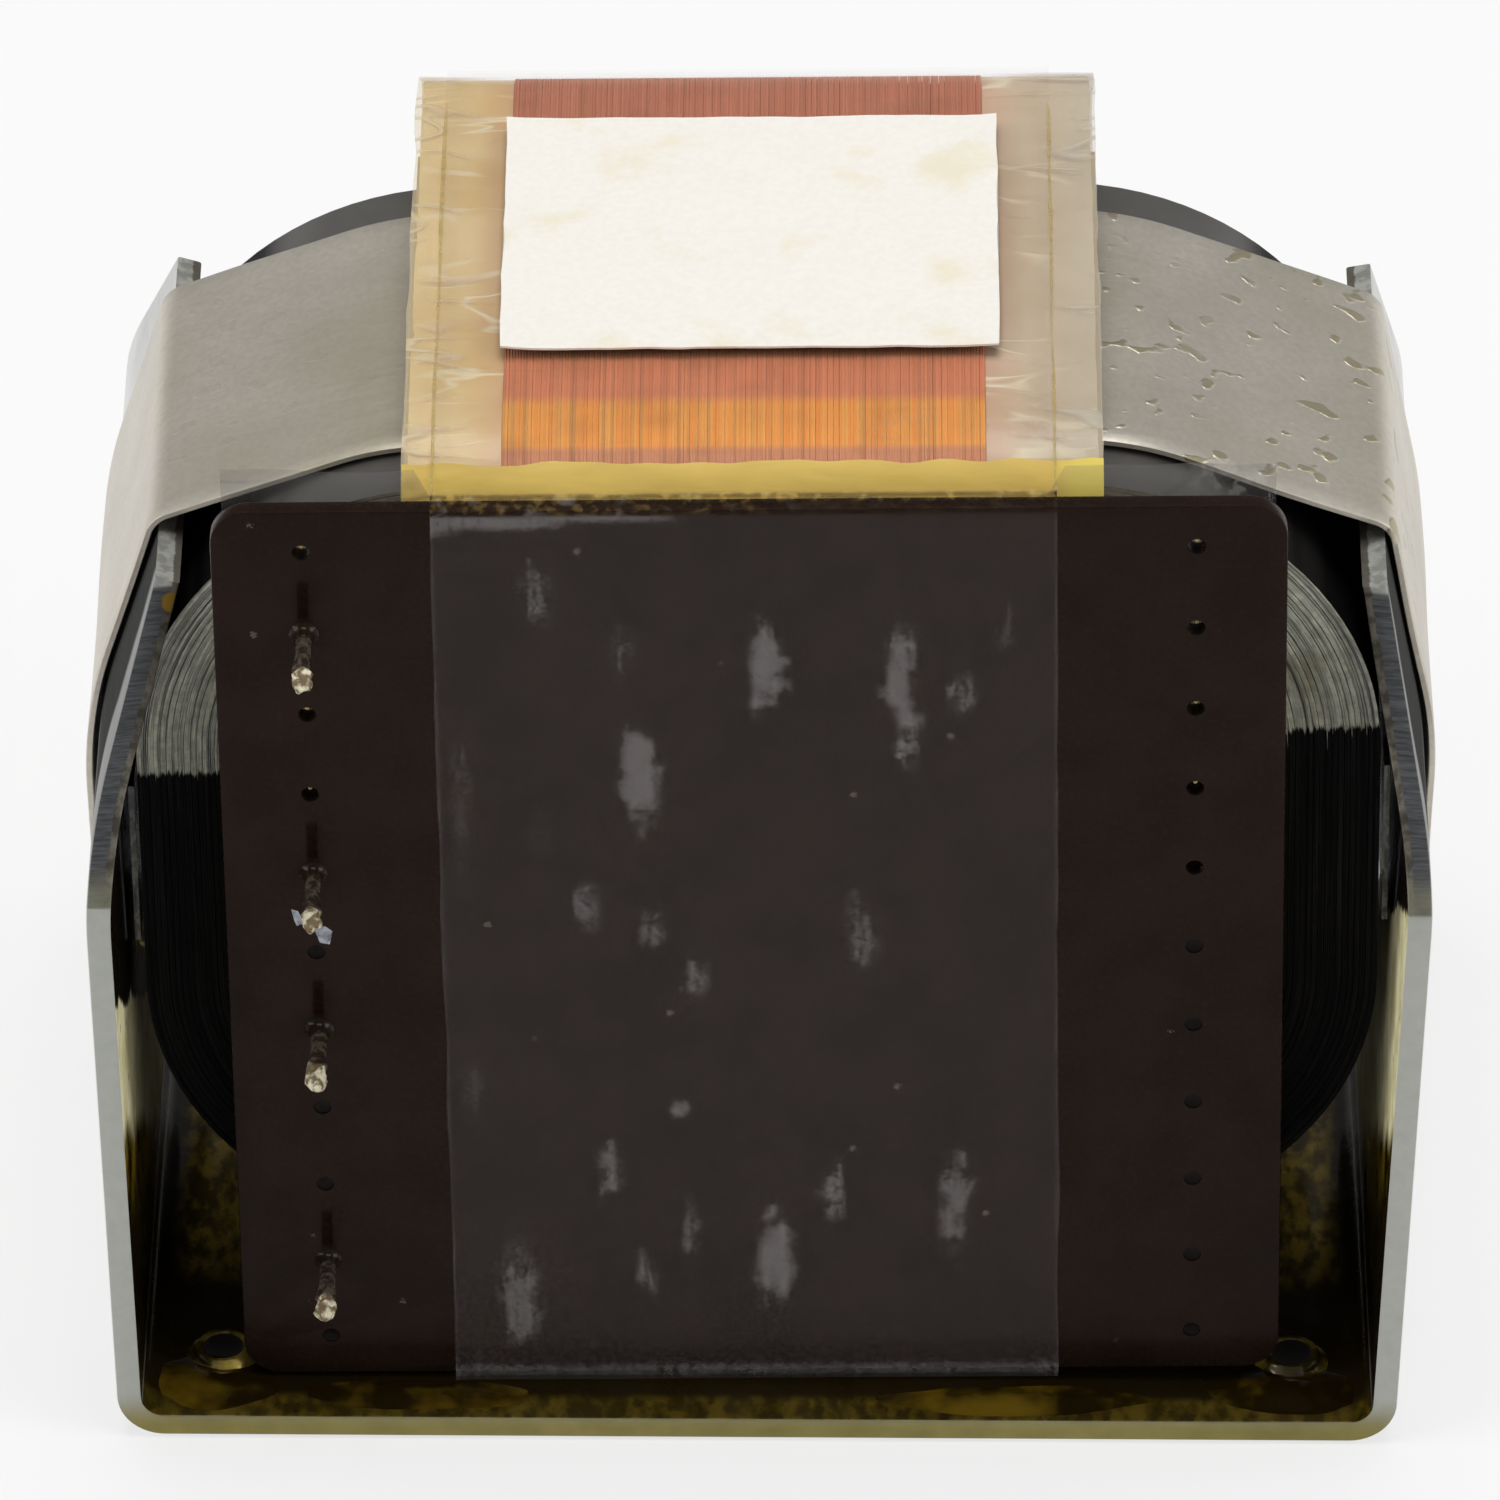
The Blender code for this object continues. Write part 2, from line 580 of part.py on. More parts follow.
def make_front_sheet(material, parent):
    """Insulating sheet down the coils' front, its top bent over the coil's corner."""
    radius = COIL_CORNER
    middle = Vector((COIL_FRONT_Y + radius, COIL_TOP_Z - radius))
    reach = radius + FILM_GAP + FRONT_SHEET / 2
    line = [Vector((middle.x - reach, COIL_BOTTOM_Z + radius / 2))]
    line += arc(middle, reach, math.pi, math.pi - FRONT_SHEET_WRAP, ROUND_STEPS)
    outline = strip_outline(line, FRONT_SHEET)
    half = FORMER_LENGTH / 2
    return extrude_yz("front_insulation", outline, -half, half, material, parent)


def make_clear_sheet(material, parent):
    """Clear film behind the board; it stands up past the board beside the tape."""
    middle_y = BOARD_BACK_Y + FILM_GAP + CLEAR_SHEET / 2
    left = BOARD_OFFSET_X - BOARD_WIDTH / 2 + CLEAR_SHEET_LEFT_INSET
    right = BOARD_OFFSET_X + BOARD_WIDTH / 2 - CLEAR_SHEET_RIGHT_INSET
    tape_left = TAPE_OFFSET_X - TAPE_WIDTH / 2 - SEAT_GAP
    tape_right = TAPE_OFFSET_X + TAPE_WIDTH / 2 + SEAT_GAP
    low = BOARD_TOP - FILM_GAP
    high = BOARD_TOP + CLEAR_SHEET_RISE
    outline = [
        (left, BOARD_BOTTOM + FILM_GAP),
        (right, BOARD_BOTTOM + FILM_GAP),
        (right, high),
        (tape_right, high),
        (tape_right, low),
        (tape_left, low),
        (tape_left, high),
        (left, high),
    ]
    faces = (middle_y - CLEAR_SHEET / 2, middle_y + CLEAR_SHEET / 2)
    loops = [[(x, y, z) for x, z in outline] for y in faces]
    sheet = loft("clear_sheet", loops, material, parent)
    places = [hole_place(-1, number) for number in PIN_POSITIONS]
    bore = [(PIN_HOLE_DIAMETER / 2, -CUT_OVERRUN), (PIN_HOLE_DIAMETER / 2, CUT_OVERRUN)]
    back = Vector((0, 1, 0))
    cut(sheet, turned("sheet_holes", bore, places, back, SMALL_CIRCLE_STEPS, material, parent))
    return sheet


def tape_loop(offset):
    """The tape's path round coils and board, as (y, z) points, at a distance from them."""
    top = COIL_TOP_Z + offset
    back = COIL_BACK_Y + offset
    front = BOARD_FRONT_Y - offset
    bottom = BOARD_BOTTOM - offset
    radius = COIL_CORNER + offset
    middle = Vector((COIL_FRONT_Y - offset + radius, top - radius))
    board_edge = Vector((front, BOARD_TOP + offset / 2))
    span = board_edge - middle
    leave = math.atan2(span.y, span.x) - math.acos(radius / span.length)
    points = arc(Vector((back - radius, top - radius)), radius, 0, math.pi / 2, ROUND_STEPS)
    points += arc(middle, radius, math.pi / 2, leave, 1)
    points += [board_edge, Vector((front, bottom))]
    points += arc(Vector((back - radius, bottom + radius)), radius, -math.pi / 2, 0, ROUND_STEPS)
    return points


def make_tape(material, parent):
    """Clear tape round both coils and the board, one closed belt."""
    inner = tape_loop(TAPE_GAP)
    outer = tape_loop(TAPE_GAP + TAPE_THICKNESS)
    first = TAPE_OFFSET_X - TAPE_WIDTH / 2
    last = TAPE_OFFSET_X + TAPE_WIDTH / 2
    loops = []
    for x, path in ((first, inner), (last, inner), (last, outer), (first, outer)):
        loops.append([(x, y, z) for y, z in path])
    return loft("assembly_tape", loops, material, parent, ring=True)


def make_label(material, parent):
    """Bare paper label on the tape over the upper coil."""
    base = COIL_TOP_Z + TAPE_GAP + TAPE_THICKNESS + TAPE_GAP
    x, y = LABEL_CENTRE
    low = (x - LABEL_WIDTH / 2, y - LABEL_DEPTH / 2, base)
    high = (x + LABEL_WIDTH / 2, y + LABEL_DEPTH / 2, base + LABEL_THICKNESS)
    return make_box("label", low, high, material, parent)


def make_side_pad(name, side, curve_start, material, parent):
    """Black bonding compound between the core and the straight part of a side plate."""
    top = curve_start + PAD_REACH - CORE_CENTRE_Z
    near = side * (CORE_HALF_WIDTH + FILM_GAP)
    far = side * (CORE_HALF_WIDTH + FILM_GAP + PAD_THICKNESS)
    low = (min(near, far), -PAD_DEPTH / 2, top - PAD_HEIGHT)
    high = (max(near, far), PAD_DEPTH / 2, top)
    return make_box(name, low, high, material, parent)


def main():
    """Build every piece in its place."""
    clear_scene()
    plate_steel = make_material("plated_steel", (0.52, 0.53, 0.52), 0.35, 1.0)
    band_steel = make_material("band_steel", (0.45, 0.42, 0.40), 0.4, 1.0)
    core_steel = make_material("core_strip", (0.30, 0.29, 0.26), 0.4, 1.0)
    phenolic = make_material("phenolic_board", (0.035, 0.022, 0.02), 0.3)
    solder = make_material("soldered_pin", (0.62, 0.55, 0.42), 0.45, 0.6)
    copper = make_material("copper_wire", (0.72, 0.30, 0.14), 0.35, 0.8)
    film = make_material("amber_film", (0.75, 0.62, 0.38), 0.3)
    yellow = make_material("yellow_sheet", (0.74, 0.62, 0.12), 0.4)
    tape_film = make_material("clear_tape", (0.55, 0.52, 0.50), 0.2)
    paper = make_material("label_paper", (0.85, 0.82, 0.75), 0.6)
    former = make_material("paper_former", (0.45, 0.36, 0.22), 0.7)
    compound = make_material("black_compound", (0.01, 0.01, 0.012), 0.3)

    wound = bpy.data.objects.new("wound_parts", None)
    wound.location = (0, 0, CORE_CENTRE_Z)
    wound.rotation_euler = (0, -CORE_TILT, 0)
    bpy.context.scene.collection.objects.link(wound)

    make_bracket(plate_steel)
    make_band(band_steel)
    make_core_half("core_half_left", -1, core_steel, wound)
    make_core_half("core_half_right", 1, core_steel, wound)
    leg = CORE_HALF_HEIGHT - CORE_BUILD / 2
    make_gap_spacer("gap_spacer_upper", leg, former, wound)
    make_gap_spacer("gap_spacer_lower", -leg, former, wound)
    coil_materials = {"former": former, "film": film, "copper": copper}
    make_coil("upper", UPPER_COIL_Z, coil_materials, wound)
    make_coil("lower", LOWER_COIL_Z, coil_materials, wound)
    make_front_sheet(yellow, wound)
    make_clear_sheet(tape_film, wound)
    make_board(phenolic, wound)
    entries = [UPPER_COIL_Z + LEAD_SPREAD, UPPER_COIL_Z - LEAD_SPREAD]
    entries += [LOWER_COIL_Z + LEAD_SPREAD, LOWER_COIL_Z - LEAD_SPREAD]
    for index, (number, entry_z) in enumerate(zip(PIN_POSITIONS, entries), 1):
        make_pin(index, number, solder, wound)
        make_lead(index, number, entry_z, copper, wound)
    make_tape(tape_film, wound)
    make_label(paper, wound)
    make_side_pad("side_pad_left", -1, LEFT_CURVE_START, compound, wound)
    make_side_pad("side_pad_right", 1, RIGHT_CURVE_START, compound, wound)


main()
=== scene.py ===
# %% [markdown]
# # A choke inductor in its folded bracket
# This notebook dresses a finished solid model of a choke. The solids are loaded first and
# never moved. Each visible piece is then modelled again with its fine shape, or keeps its
# solid and gets a finish of its own.

import math

import bmesh
import bpy
from mathutils import Matrix, Vector, noise


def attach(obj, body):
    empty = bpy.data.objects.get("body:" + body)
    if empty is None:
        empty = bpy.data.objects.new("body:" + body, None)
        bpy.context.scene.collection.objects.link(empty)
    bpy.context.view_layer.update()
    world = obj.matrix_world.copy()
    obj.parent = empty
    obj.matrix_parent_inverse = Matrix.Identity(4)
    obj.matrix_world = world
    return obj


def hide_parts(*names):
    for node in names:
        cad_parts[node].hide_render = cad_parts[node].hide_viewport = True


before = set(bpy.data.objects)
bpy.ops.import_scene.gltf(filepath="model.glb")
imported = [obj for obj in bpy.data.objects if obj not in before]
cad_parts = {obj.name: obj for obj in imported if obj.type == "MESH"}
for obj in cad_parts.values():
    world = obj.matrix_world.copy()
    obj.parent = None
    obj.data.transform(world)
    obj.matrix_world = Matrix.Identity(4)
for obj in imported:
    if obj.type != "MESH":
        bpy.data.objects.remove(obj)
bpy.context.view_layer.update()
MM = 0.001

# %% [markdown]
# ## The camera
# A long lens keeps the sides almost parallel, as in a catalogue picture. The camera looks
# down at the board from the front. Its place and its small roll were found by matching the
# holes of the board and the edges of the bracket.

# %% Camera
AZIMUTH, ELEVATION, ROLL = (math.radians(a) for a in (0.243, 35.885, 0.187))
LENS, SENSOR = 332.96, 36
CAMERA_PLACE = Vector((1.96, -600.35, 461.75)) * MM


def add_object(name, data):
    item = bpy.data.objects.new(name, data)
    bpy.context.scene.collection.objects.link(item)
    return item


level = math.cos(ELEVATION)
sight = Vector((-math.sin(AZIMUTH) * level, math.cos(AZIMUTH) * level, -math.sin(ELEVATION)))
camera = add_object("catalogue_camera", bpy.data.cameras.new("catalogue_camera"))
camera.data.sensor_width, camera.data.lens = SENSOR, LENS
aim = sight.to_track_quat("-Z", "Y").to_matrix().to_4x4()
camera.matrix_world = Matrix.Translation(CAMERA_PLACE) @ aim @ Matrix.Rotation(ROLL, 4, "Z")
bpy.context.scene.camera = camera
bpy.context.scene.view_settings.view_transform = "Standard"
print("camera looks down by", round(math.degrees(ELEVATION), 1), "degrees")

# %% [markdown]
# ## Helpers for shapes
# Sheet, strip and film are all drawn the same way: a line in one plane, given a thickness,
# and pulled along the third axis. Points are written in millimetres and scaled once, when
# the mesh is made.

# %% Lines and loops
def polar(angle, radius=1.0):
    return radius * Vector((math.cos(angle), math.sin(angle)))


def arc(centre, radius, start, end, steps):
    """Points on a circle from one angle to another, both included."""
    angles = [start + (end - start) * i / steps for i in range(steps + 1)]
    return [Vector(centre) + polar(a, radius) for a in angles]


def circle(centre, radius, steps):
    return arc(centre, radius, 0, 2 * math.pi, steps)[:-1]


def spread(first, last, count):
    return [first + (last - first) * i / count for i in range(count + 1)]


def mirrored(line):
    return [Vector((-p.x, p.y)) for p in line]


def sides_of(line, thickness):
    """The two sides of a strip of even thickness along an open line."""
    runs = [(b - a).normalized() for a, b in zip(line, line[1:])]
    left, right = [], []
    for point, before, after in zip(line, runs[:1] + runs, runs + runs[-1:]):
        mean = (before + after).normalized()
        normal = Vector((-mean.y, mean.x)) * thickness / 2 / mean.dot(before)
        left.append(point + normal)
        right.append(point - normal)
    return left, right


def resampled(line, step):
    """The same line with extra points, no further apart than step."""
    points = [line[0]]
    for a, b in zip(line, line[1:]):
        count = max(1, math.ceil((b - a).length / step))
        points += [a.lerp(b, k / count) for k in range(1, count + 1)]
    return points


def loft(loops, ring=False):
    """Skin equal closed loops of points; a ring joins its last loop to its first."""
    size, count = len(loops[0]), len(loops)
    faces = []
    for i in range(count if ring else count - 1):
        a, b = i * size, (i + 1) % count * size
        faces += [(a + j, a + (j + 1) % size, b + (j + 1) % size, b + j) for j in range(size)]
    if not ring:
        faces += [tuple(range(size)), tuple(range(size * count - size, size * count))]
    return [p for loop in loops for p in loop], faces


def joined(lofts):
    """Several lofts as one list of points and one of faces."""
    points, faces = [], []
    for more_points, more_faces in lofts:
        faces += [tuple(i + len(points) for i in face) for face in more_faces]
        points += more_points
    return points, faces


def wobble(x, y, z, size, seed=0.0):
    """Smooth random number near -1 to 1 at a place, with features of about that size in mm."""
    return 2 * noise.noise(Vector((x, y, z)) / size + Vector((seed, 3.1 * seed, 7.7)))


# %% Pieces
TILT = math.radians(0.9)
CORE_CENTRE_Z = 30.1
WOUND = Matrix.Translation((0, 0, CORE_CENTRE_Z)) @ Matrix.Rotation(-TILT, 4, "Y")
SHARP = 35


def smooth(mesh, angle):
    mesh.shade_smooth()
    mesh.set_sharp_from_angle(angle=math.radians(angle))


def store(piece, name, values, kind="FLOAT", field="value"):
    """Keep a number or a vector with each point."""
    attribute = piece.data.attributes.new(name, kind, "POINT")
    for item, value in zip(attribute.data, values):
        setattr(item, field, value)


def make_piece(name, points, faces, materials, wound=False, angle=SHARP):
    """A mesh object from millimetre points; wound parts share the slightly askew frame."""
    mesh = bpy.data.meshes.new(name)
    place = WOUND if wound else Matrix.Identity(4)
    mesh.from_pydata([(place @ Vector(p)) * MM for p in points], [], faces)
    shape = bmesh.new()
    shape.from_mesh(mesh)
    bmesh.ops.recalc_face_normals(shape, faces=shape.faces)
    shape.to_mesh(mesh)
    shape.free()
    for material in materials if isinstance(materials, list) else [materials]:
        mesh.materials.append(material)
    smooth(mesh, angle)
    piece = add_object(name, mesh)
    if wound:
        store(piece, "across", [p[0] for p in points])
    return piece


def bake(piece):
    """Turn the piece's modifiers into plain mesh."""
    bpy.context.view_layer.update()
    graph = bpy.context.evaluated_depsgraph_get()
    mesh = bpy.data.meshes.new_from_object(piece.evaluated_get(graph))
    piece.modifiers.clear()
    piece.data = mesh


def drill(piece, lofts, wound=False):
    """Cut holes through the piece with one cutter of many closed shapes."""
    cutter = make_piece("cutter", *joined(lofts), piece.data.materials[0], wound)
    cut = piece.modifiers.new("holes", "BOOLEAN")
    cut.operation, cut.solver, cut.object = "DIFFERENCE", "EXACT", cutter
    bake(piece)
    bpy.data.objects.remove(cutter)


def settle(piece, slot, *nodes):
    """Let the piece ride on the one body and stand for the solids that it replaces."""
    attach(piece, "root")
    if nodes:
        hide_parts(*nodes)
    print(piece.name, len(piece.data.polygons), "faces", "for " + ", ".join(nodes) if nodes else "")


# %% [markdown]
# ## Helpers for node trees
# A finish is a network of shader nodes. Here a wire stands for one output of a node, and
# plain arithmetic on wires adds the nodes that follow. The shader itself is always set in
# the material, so that an exporter can read it.

# %% Nodes and wires
def fill(socket, value):
    """Give an input a plain value or link a wire to it."""
    if isinstance(value, Wire):
        socket.id_data.links.new(value.socket, socket)
    else:
        socket.default_value = (*value, 1.0) if socket.type == "RGBA" and len(value) == 3 else value


def put(tree, kind, setup=None, **inputs):
    """Add a node and fill its inputs. Its outputs come back as wires, by number and name."""
    node = tree.nodes.new(kind)
    for key, value in (setup or {}).items():
        setattr(node, key, value)
    for key, value in inputs.items():
        names = [(s.identifier, s.name.replace(" ", "_")) for s in node.inputs]
        fill(node.inputs[next(i for i, pair in enumerate(names) if key in pair)], value)
    return {key: Wire(s) for i, s in enumerate(node.outputs) for key in (i, s.name)}


class Wire:
    def __init__(self, socket):
        self.socket = socket

    def put(self, kind, setup=None, **inputs):
        return put(self.socket.id_data, kind, setup, **inputs)

    def math(self, operation, other=0.0):
        return self.put("ShaderNodeMath", {"operation": operation}, Value=self, Value_001=other)[0]

    def __add__(self, other):
        return self.math("ADD", other)

    def __sub__(self, other):
        return self.math("SUBTRACT", other)

    def __mul__(self, other):
        return self.math("MULTIPLY", other)

    def __abs__(self):
        return self.math("ABSOLUTE")

    def flipped(self):
        return self * -1 + 1

    def fade(self, low, high, start=0.0, end=1.0):
        """This number between low and high becomes start to end, and stays there outside."""
        return self.put(
            "ShaderNodeMapRange", {"interpolation_type": "SMOOTHSTEP"}, Value=self,
            From_Min=low, From_Max=high, To_Min=start, To_Max=end,
        )[0]

    def mix(self, a, b):
        """Colour a where this number is 0, and b where it is 1."""
        return self.put("ShaderNodeMix", {"data_type": "RGBA"}, Factor_Float=self, A_Color=a, B_Color=b)[2]

    def bump(self, strength, distance):
        return self.put("ShaderNodeBump", Height=self, Strength=strength, Distance=distance)[0]

    def axes(self):
        outputs = self.put("ShaderNodeSeparateXYZ", Vector=self)
        return outputs[0], outputs[1], outputs[2]

    def scaled(self, scale):
        return self.put("ShaderNodeVectorMath", {"operation": "MULTIPLY"}, Vector=self, Vector_001=scale)[0]

    def noise(self, scale, detail=3, rough=0.5, bend=0.0):
        return self.put(
            "ShaderNodeTexNoise", Vector=self, Scale=scale, Detail=detail, Roughness=rough, Distortion=bend,
        )[0]

    def stored(self, name, output="Fac"):
        """What is kept with the mesh's points."""
        return self.put("ShaderNodeAttribute", {"attribute_name": name})[output]

    def group(self, tree, **inputs):
        return self.put("ShaderNodeGroup", {"node_tree": tree}, Vector=self, **inputs)

    def specks(self, scale, share, radius):
        return self.group(dust, Scale=scale, Share=share, Radius=radius)["Mask"]


def finish(name, **plain):
    """Make a recipe a material with one Principled shader: plain values, then what it links."""
    def make(recipe):
        material = bpy.data.materials.new(name)
        material.use_nodes = True
        shader = material.node_tree.nodes["Principled BSDF"]
        place = put(material.node_tree, "ShaderNodeTexCoord")["Object"]
        for key, value in {**plain, **recipe(place)}.items():
            fill(shader.inputs[key.replace("_", " ")], value)
        print("finish:", name)
        return material
    return make


def node_group(name, family, inputs, outputs):
    """Make a recipe a node group, with its inputs and outputs given as label and kind."""
    def make(recipe):
        tree = bpy.data.node_groups.new(name, family + "NodeTree")
        for way, sockets in (("INPUT", inputs), ("OUTPUT", outputs)):
            for label, kind in sockets.items():
                tree.interface.new_socket(label, in_out=way, socket_type="NodeSocket" + kind)
        put(tree, "NodeGroupOutput", **recipe(put(tree, "NodeGroupInput")))
        print("group:", name)
        return tree
    return make


# %% [markdown]
# Three effects come back on several surfaces: pale dust, fine lines left by rolling or
# shearing, and the long soft folds of thin film. Each is built once as a node group.

# %% Shared shader groups
@node_group(
    "pale_dust", "Shader",
    dict(Vector="Vector", Scale="Float", Share="Float", Radius="Float"), dict(Mask="Float"),
)
def dust(given):
    place = given["Vector"]
    cells = place.put("ShaderNodeTexVoronoi", Vector=place, Scale=given["Scale"])
    chosen = cells["Color"].axes()[0].math("LESS_THAN", given["Share"])
    ragged = place.noise(9000) * 0.25 + cells["Distance"]
    return dict(Mask=chosen * ragged.math("LESS_THAN", given["Radius"]))


@node_group("fine_lines", "Shader", dict(Vector="Vector", Stretch="Vector"), dict(Tone="Float", Height="Float"))
def lines(given):
    fine = given["Vector"].scaled(given["Stretch"]).noise(1, 4, 0.65)
    return dict(Tone=fine.fade(0.3, 0.7), Height=fine)


@node_group("film_creases", "Shader", dict(Vector="Vector", Scale="Float"), dict(Line="Float", Height="Float"))
def creases(given):
    place, scale = given["Vector"], given["Scale"]
    drawn = place.scaled(place.put("ShaderNodeCombineXYZ", X=scale * 0.3, Y=scale, Z=scale)[0])
    field = drawn.noise(1, 2, 0.5, 0.5)
    line = abs(field - 0.5).fade(0, 0.03, 1, 0) * place.noise(210, 2).fade(0.46, 0.62)
    return dict(Line=line, Height=line * 0.35 + field)


# %% [markdown]
# ## The bracket
# One steel sheet is sheared with cut corners, its four small holes are drawn upwards, and it
# is folded into a U. The side plates lean in at the top, because the band was pulled tight.
# The sheared edge shows two tones, a smooth band and a torn one. Impregnating varnish has
# dried on the inside, pale to amber; higher up the inner wall is coloured almost black.
# Golden glints on the floor are painted reflections, and the outer face is painted dark beside the band as its
# shadow.

# %% Finishes of the bracket
HOLE_X, HOLE_Y = 28.5, 19.3


@finish("plated_steel_outside", Specular_IOR_Level=0.2)
def steel_outside(place):
    x, y, z = place.axes()
    marks = place.group(lines, Stretch=(400, 400, 9000))
    cloud = place.noise(90)
    colour = cloud.fade(0.3, 0.7).mix((0.56, 0.56, 0.54), (0.72, 0.72, 0.70))
    colour = (place.specks(260, 0.12, 0.22) * 0.5).mix(colour, (0.30, 0.24, 0.12))
    lean = cloud * 0.003 + (x * 0.026 + (z * -0.45 + y))
    # Painted shade: the upper front of the outer face is painted a darker grey, and a wedge beside the band is
    # painted near black and matt, with a ragged edge, as the band's shadow.
    upper = z.fade(0.0325, 0.0385) * y.fade(-0.006, -0.004, 1, 0)
    band_shadow = upper * lean.fade(-0.0352, -0.0342)
    colour = band_shadow.mix(upper.mix(colour, (0.27, 0.27, 0.26)), (0.03, 0.03, 0.028))
    return dict(
        Base_Color=colour, Metallic=band_shadow.flipped(), Normal=marks["Height"].bump(0.15, 0.0001),
        Roughness=band_shadow * 0.45 + marks["Tone"].fade(0, 1, 0.3, 0.45),
    )


@finish("sheared_steel_edge", Metallic=0.85)
def steel_edge(place):
    z = place.axes()[2]
    lump = place.noise(1100, 3, 0.6)
    inner = (lump * 0.3 + place.stored("through")).fade(0.42, 0.50, 1, 0)
    across = place.group(lines, Stretch=(500, 1500, 8000))
    pale = lump.mix((0.34, 0.35, 0.32), (0.43, 0.44, 0.40))
    dark = across["Tone"].mix((0.065, 0.068, 0.072), (0.15, 0.155, 0.16))
    dark = inner.mix(dark, lump.fade(0.35, 0.65).mix((0.075, 0.068, 0.055), (0.21, 0.19, 0.155)))
    cut_start = z.fade(0.0352, 0.0368, 1, 0) * 0.7
    dark = cut_start.mix(dark, lump.mix((0.20, 0.20, 0.14), (0.36, 0.35, 0.26)))
    colour = z.fade(0.03465, 0.03485).mix(pale, dark)
    flat = lump.fade(0.4, 0.6).mix((0.42, 0.42, 0.39), (0.64, 0.64, 0.60))
    flat = (inner * 0.85).mix(flat, (0.13, 0.115, 0.085))
    colour = z.fade(0.0484, 0.0486).mix(colour, flat)
    olive = place.noise(500).mix((0.17, 0.14, 0.04), (0.30, 0.26, 0.09))
    colour = z.fade(0.0005, 0.003, 1, 0).mix(colour, olive)
    drop = (-0.0304, -0.0154, 0.0478)
    away = place.put("ShaderNodeVectorMath", {"operation": "DISTANCE"}, Vector=place, Vector_001=drop)["Value"]
    colour = (lump * 0.0006 + away).fade(0.0007, 0.0009, 1, 0).mix(colour, (0.34, 0.21, 0.03))
    rough = z.fade(0.030, 0.036, 0.42, 0.5)
    return dict(Base_Color=colour, Roughness=rough, Normal=across["Height"].bump(0.25, 0.0001))


@finish("varnished_steel_inside", Coat_Roughness=0.1, Specular_IOR_Level=0.2)
def steel_varnished(place):
    x, y, z = place.axes()
    black = (0.010, 0.006, 0.002)
    cloud = place.noise(300, 4, 0.6)
    run = place.scaled((300, 300, 60)).noise(1, 4, 0.65)
    torn = run * 0.004 + (y * 0.717 + z)
    # Above a slanted line the inner wall is coloured near black. Between that line and the amber foot, the wall
    # is pale.
    above = (torn - (x * 0.095 + 0.0162)).fade(-0.0002, 0.0003)
    below = torn.fade(0.0035, 0.0058, 1, 0)
    pale = cloud.fade(0.35, 0.65).mix((0.58, 0.52, 0.27), (0.80, 0.75, 0.48))
    pale = (place.specks(420, 0.16, 0.22) * 0.8).mix(pale, (0.02, 0.015, 0.006))
    amber = cloud.fade(0.4, 0.65).mix((0.010, 0.006, 0.001), (0.30, 0.20, 0.015))
    amber = torn.fade(-0.002, 0.004).mix(black, amber)
    wall = below.mix(above.mix(pale, black), amber)
    # Painted reflection: under the core's corners the floor is painted with golden glints of light reflected in
    # the glossy varnish. A weaker strip of the same is painted along the front edge.
    gold_glint = place.scaled((1, 0.5, 1)).noise(1300).fade(0.38, 0.66).mix((0.22, 0.15, 0.008), (0.95, 0.66, 0.06))
    middle = y.fade(-0.014, -0.008) * y.fade(0.002, 0.010, 1, 0) * abs(x).fade(0.0300, 0.0318, 1, 0)
    front = y.fade(-0.0232, -0.0222, 0.1, 0)
    patch = middle.math("MAXIMUM", front) * cloud.fade(0.15, 0.42)
    upright = z.fade(0.0018, 0.0032)
    colour = upright.mix(patch.mix((0.016, 0.010, 0.002), gold_glint), wall)
    bare = upright * above.math("MAXIMUM", below).flipped()
    return dict(
        Base_Color=colour, Metallic=bare.fade(0, 1, 0.35, 0), Coat_Weight=bare.fade(0, 1, 0.4, 0),
        Roughness=bare * 0.3 + cloud.fade(0.3, 0.7, 0.22, 0.4), Normal=(cloud + run).bump(0.2, 0.0003),
    )


@finish("varnished_collar", Coat_Roughness=0.05, Specular_IOR_Level=0.3)
def collar_gold(place):
    x, y, z = place.axes()
    patch = place.noise(700)
    off_x, off_y = abs(x) - HOLE_X * MM, abs(y) - HOLE_Y * MM
    reach = (off_x * off_x + off_y * off_y).math("SQRT")
    # Painted shade: the wall of the bore is painted near black and matt, as the shade inside the hole.
    bore = reach.fade(0.00110, 0.00116, 1, 0) * z.fade(0.00188, 0.00195, 1, 0)
    colour = patch.fade(0.4, 0.7).mix((0.05, 0.033, 0.004), (0.55, 0.40, 0.07))
    wet = bore.fade(0, 1, 0.6, 0)
    return dict(
        Base_Color=bore.mix(colour, (0.006, 0.004, 0.003)), Metallic=wet, Coat_Weight=wet,
        Roughness=bore.fade(0, 1, 0.3, 0.9), Normal=patch.bump(0.3, 0.0002),
    )


# %% [markdown]
# The sheet's middle line is walked from the floor up each plate. At every point its depth is
# known from how far it has come, so the cut corners fold with the sheet, as on a real blank.

# %% Side plate lines
SHEET, FOLD_RADIUS = 1.3, 1.2
BASE_HALF_WIDTH, HALF_DEPTH = 33.95, 24.5
SPLAY = math.radians(1.6)
CURVE_RADIUS, CURVE_STEPS, FOLD_STEPS = 27.0, 16, 12
PLATES = {"left": (math.radians(17.0), 32.5), "right": (math.radians(11.5), 33.3)}
CUT_START, CUT_DEPTH, PLATE_TOP = 34.75, 9.76, 48.95


